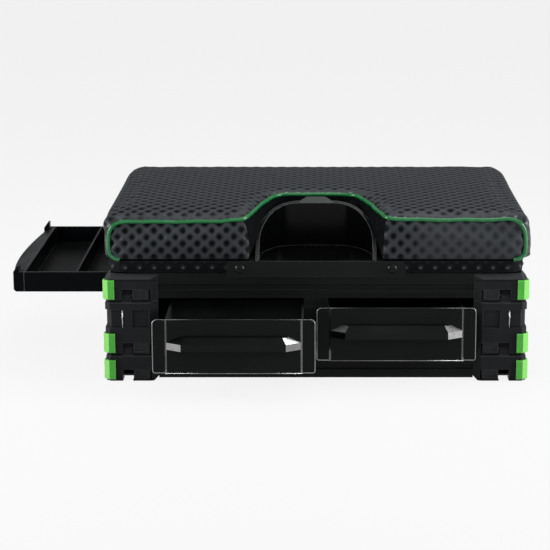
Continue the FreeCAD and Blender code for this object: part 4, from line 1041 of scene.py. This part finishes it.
def cover_route(low, high, gap):
    """Level path round the board's edge from one end of the bolted plate to the other.

    Each of its points comes with the direction in which the edge faces there.
    """
    corners = [(high.x, low.y, -90), (high.x, high.y, 0), (low.x, high.y, 90), (low.x, low.y, 180)]
    route = [(Vector((MIDDLE.x + gap, low.y, 0)), Vector((0, -1, 0)))]
    for x, y, start in corners:
        centre = Vector((x - math.copysign(COVER_ROUND, x - MIDDLE.x),
                         y - math.copysign(COVER_ROUND, y - MIDDLE.y), 0))
        for index in range(COVER_TURNS + 1):
            turn = math.radians(start + 90 * index / COVER_TURNS)
            out = Vector((math.cos(turn), math.sin(turn), 0))
            route.append((centre + out * COVER_ROUND, out))
    route.append((Vector((MIDDLE.x - gap, low.y, 0)), Vector((0, -1, 0))))
    fine = [route[0]]
    for (start, first), (end, second) in zip(route, route[1:]):
        count = max(1, int((end - start).length / COVER_STEP))
        for index in range(1, count + 1):
            share = index / count
            fine.append((start.lerp(end, share), first.lerp(second, share).normalized()))
    return fine


def add_board_cover():
    """Fabric stretched round the board's edge, with one row of bumps between its pits, painted darker all
    over and with painted highlights on the bumps.
    """
    low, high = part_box("seat_board")
    plate_low, plate_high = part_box("front_plate")
    gap = (plate_high.x - plate_low.x) / 2 + COVER_PROUD
    route = cover_route(low, high, gap)
    foot = low.z + COVER_FOOT
    rise = high.z - COVER_TOP - foot
    points, faces, shades = [], [], []
    travelled = 0.0
    for index, (place, out) in enumerate(route):
        if index:
            travelled += (place - route[index - 1][0]).length
        for level in range(COVER_LEVELS):
            share = level / (COVER_LEVELS - 1)
            height = foot + rise * share
            rounding = math.sin(math.pi * share) ** 0.5
            bump = dimple(travelled, height - COVER_UP) ** 2
            proud = COVER_PROUD * rounding + COVER_BUMP * bump
            points.append(Vector((place.x, place.y, height)) + out * proud)
            shades.append(COVER_SHADE - COVER_HIGHLIGHT * bump ** 2)
    for index in range(len(route) - 1):
        for level in range(COVER_LEVELS - 1):
            first = index * COVER_LEVELS + level
            faces.append((first, first + COVER_LEVELS, first + COVER_LEVELS + 1, first + 1))
    cover = add_object("board_cover", mesh_from("board_cover", points, faces))
    remember_shades(cover.data, shades)
    cover.data.shade_smooth()
    use(cover, leatherette("cover_cloth", (0.006, 0.0068, 0.0075), (0.009, 0.010, 0.011),
                           (0.030, 0.032, 0.034), (0.12, 0.125, 0.13), 0.07))
    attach(cover, "seat_lid")


# Piping
def rounded_route(points, radii, step):
    """Points along straight runs with a tangent arc at each inner corner."""
    route = [points[0]]
    for before, corner, after, radius in zip(points, points[1:], points[2:], radii):
        incoming = (before - corner).normalized()
        outgoing = (after - corner).normalized()
        half_turn = incoming.angle(outgoing) / 2
        trim = radius / math.tan(half_turn)
        centre = corner + (incoming + outgoing).normalized() * (radius / math.sin(half_turn))
        start = corner + incoming * trim - centre
        end = corner + outgoing * trim - centre
        turn = start.angle(end)
        count = max(3, int(turn * radius / step))
        for index in range(count + 1):
            share = index / count
            spoke = start * math.sin((1 - share) * turn) + end * math.sin(share * turn)
            route.append(centre + spoke / math.sin(turn))
    route.append(points[-1])
    even = [route[0]]
    for start, end in zip(route, route[1:]):
        count = max(1, int((end - start).length / step))
        even += [start.lerp(end, index / count) for index in range(1, count + 1)]
    return even


def tube(name, route, radius, sides=12):
    """A round tube along a route, with flat ends."""
    points, faces = [], []
    up = Vector((0, -1, 0))
    rings = []
    for index, place in enumerate(route):
        ahead = route[min(index + 1, len(route) - 1)] - route[max(index - 1, 0)]
        ahead.normalize()
        across = ahead.cross(up).normalized()
        up = across.cross(ahead).normalized()
        ring = []
        for side in range(sides):
            angle = 2 * math.pi * side / sides
            ring.append(len(points))
            points.append(place + (across * math.cos(angle) + up * math.sin(angle)) * radius)
        rings.append(ring)
    for first, second in zip(rings, rings[1:]):
        for side in range(sides):
            following = (side + 1) % sides
            faces.append((first[side], first[following], second[following], second[side]))
    faces.append(tuple(rings[0]))
    faces.append(tuple(reversed(rings[-1])))
    mesh = mesh_from(name, points, faces)
    tidy_normals(mesh)
    mesh.shade_smooth()
    return mesh


def piping_route():
    """The piping's path from foot to foot, round the front panels and the notch."""
    low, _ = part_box("seat_pad")
    piping_low, piping_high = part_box("seat_piping")
    front = low.y + PIPING_INSET
    base = piping_low.z + PIPING_RADIUS
    top = low.z + PIPING_UP
    crown = piping_high.z - PIPING_RADIUS

    def half(side):
        return [(side - PIPING_HOOK, front, base), (side, front, base), (side, front, top),
                (NOTCH_FRONT_HALF, front, top), (NOTCH_REAR_HALF, low.y + NOTCH_REAR_IN, crown)]

    left = [Vector((MIDDLE.x - x, y, z)) for x, y, z in half(PIPING_LEFT)]
    left[2].z -= PIPING_LEFT_DROP
    right = [Vector((MIDDLE.x + x, y, z)) for x, y, z in reversed(half(PIPING_RIGHT))]
    return rounded_route(left + right, PIPING_ROUNDS + PIPING_ROUNDS[::-1], PIPING_STEP)


def add_piping(pad, route):
    """Seat the piping on the pad along its path."""
    tree = BVHTree.FromObject(pad, bpy.context.evaluated_depsgraph_get())
    seated = []
    for place in route:
        near, normal, _, _ = tree.find_nearest(place)
        seated.append(near + normal * PIPING_RADIUS * PIPING_PROUD)
    smooth = []
    for index in range(len(seated)):
        reach = min(index, len(seated) - 1 - index, PIPING_SPAN)
        span = seated[index - reach:index + reach + 1]
        smooth.append(sum(span, Vector()) / len(span))
    piping = add_object("green_piping", tube("green_piping", smooth, PIPING_RADIUS))
    use(piping, piping_cloth())
    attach(piping, "seat_lid")
    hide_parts("seat_piping")


add_camera()
add_studio()
hard_finishes = make_finishes()
dress_packed_pieces(hard_finishes)
for drawer in ("left", "right"):
    add_drawer_edge(drawer, hard_finishes)
    add_divider(drawer, hard_finishes)
add_rib_edges(hard_finishes)
add_floor_lip(hard_finishes)
seam_route = piping_route()
seat = add_seat_pad(seam_route)
add_board_cover()
add_piping(seat, seam_route)
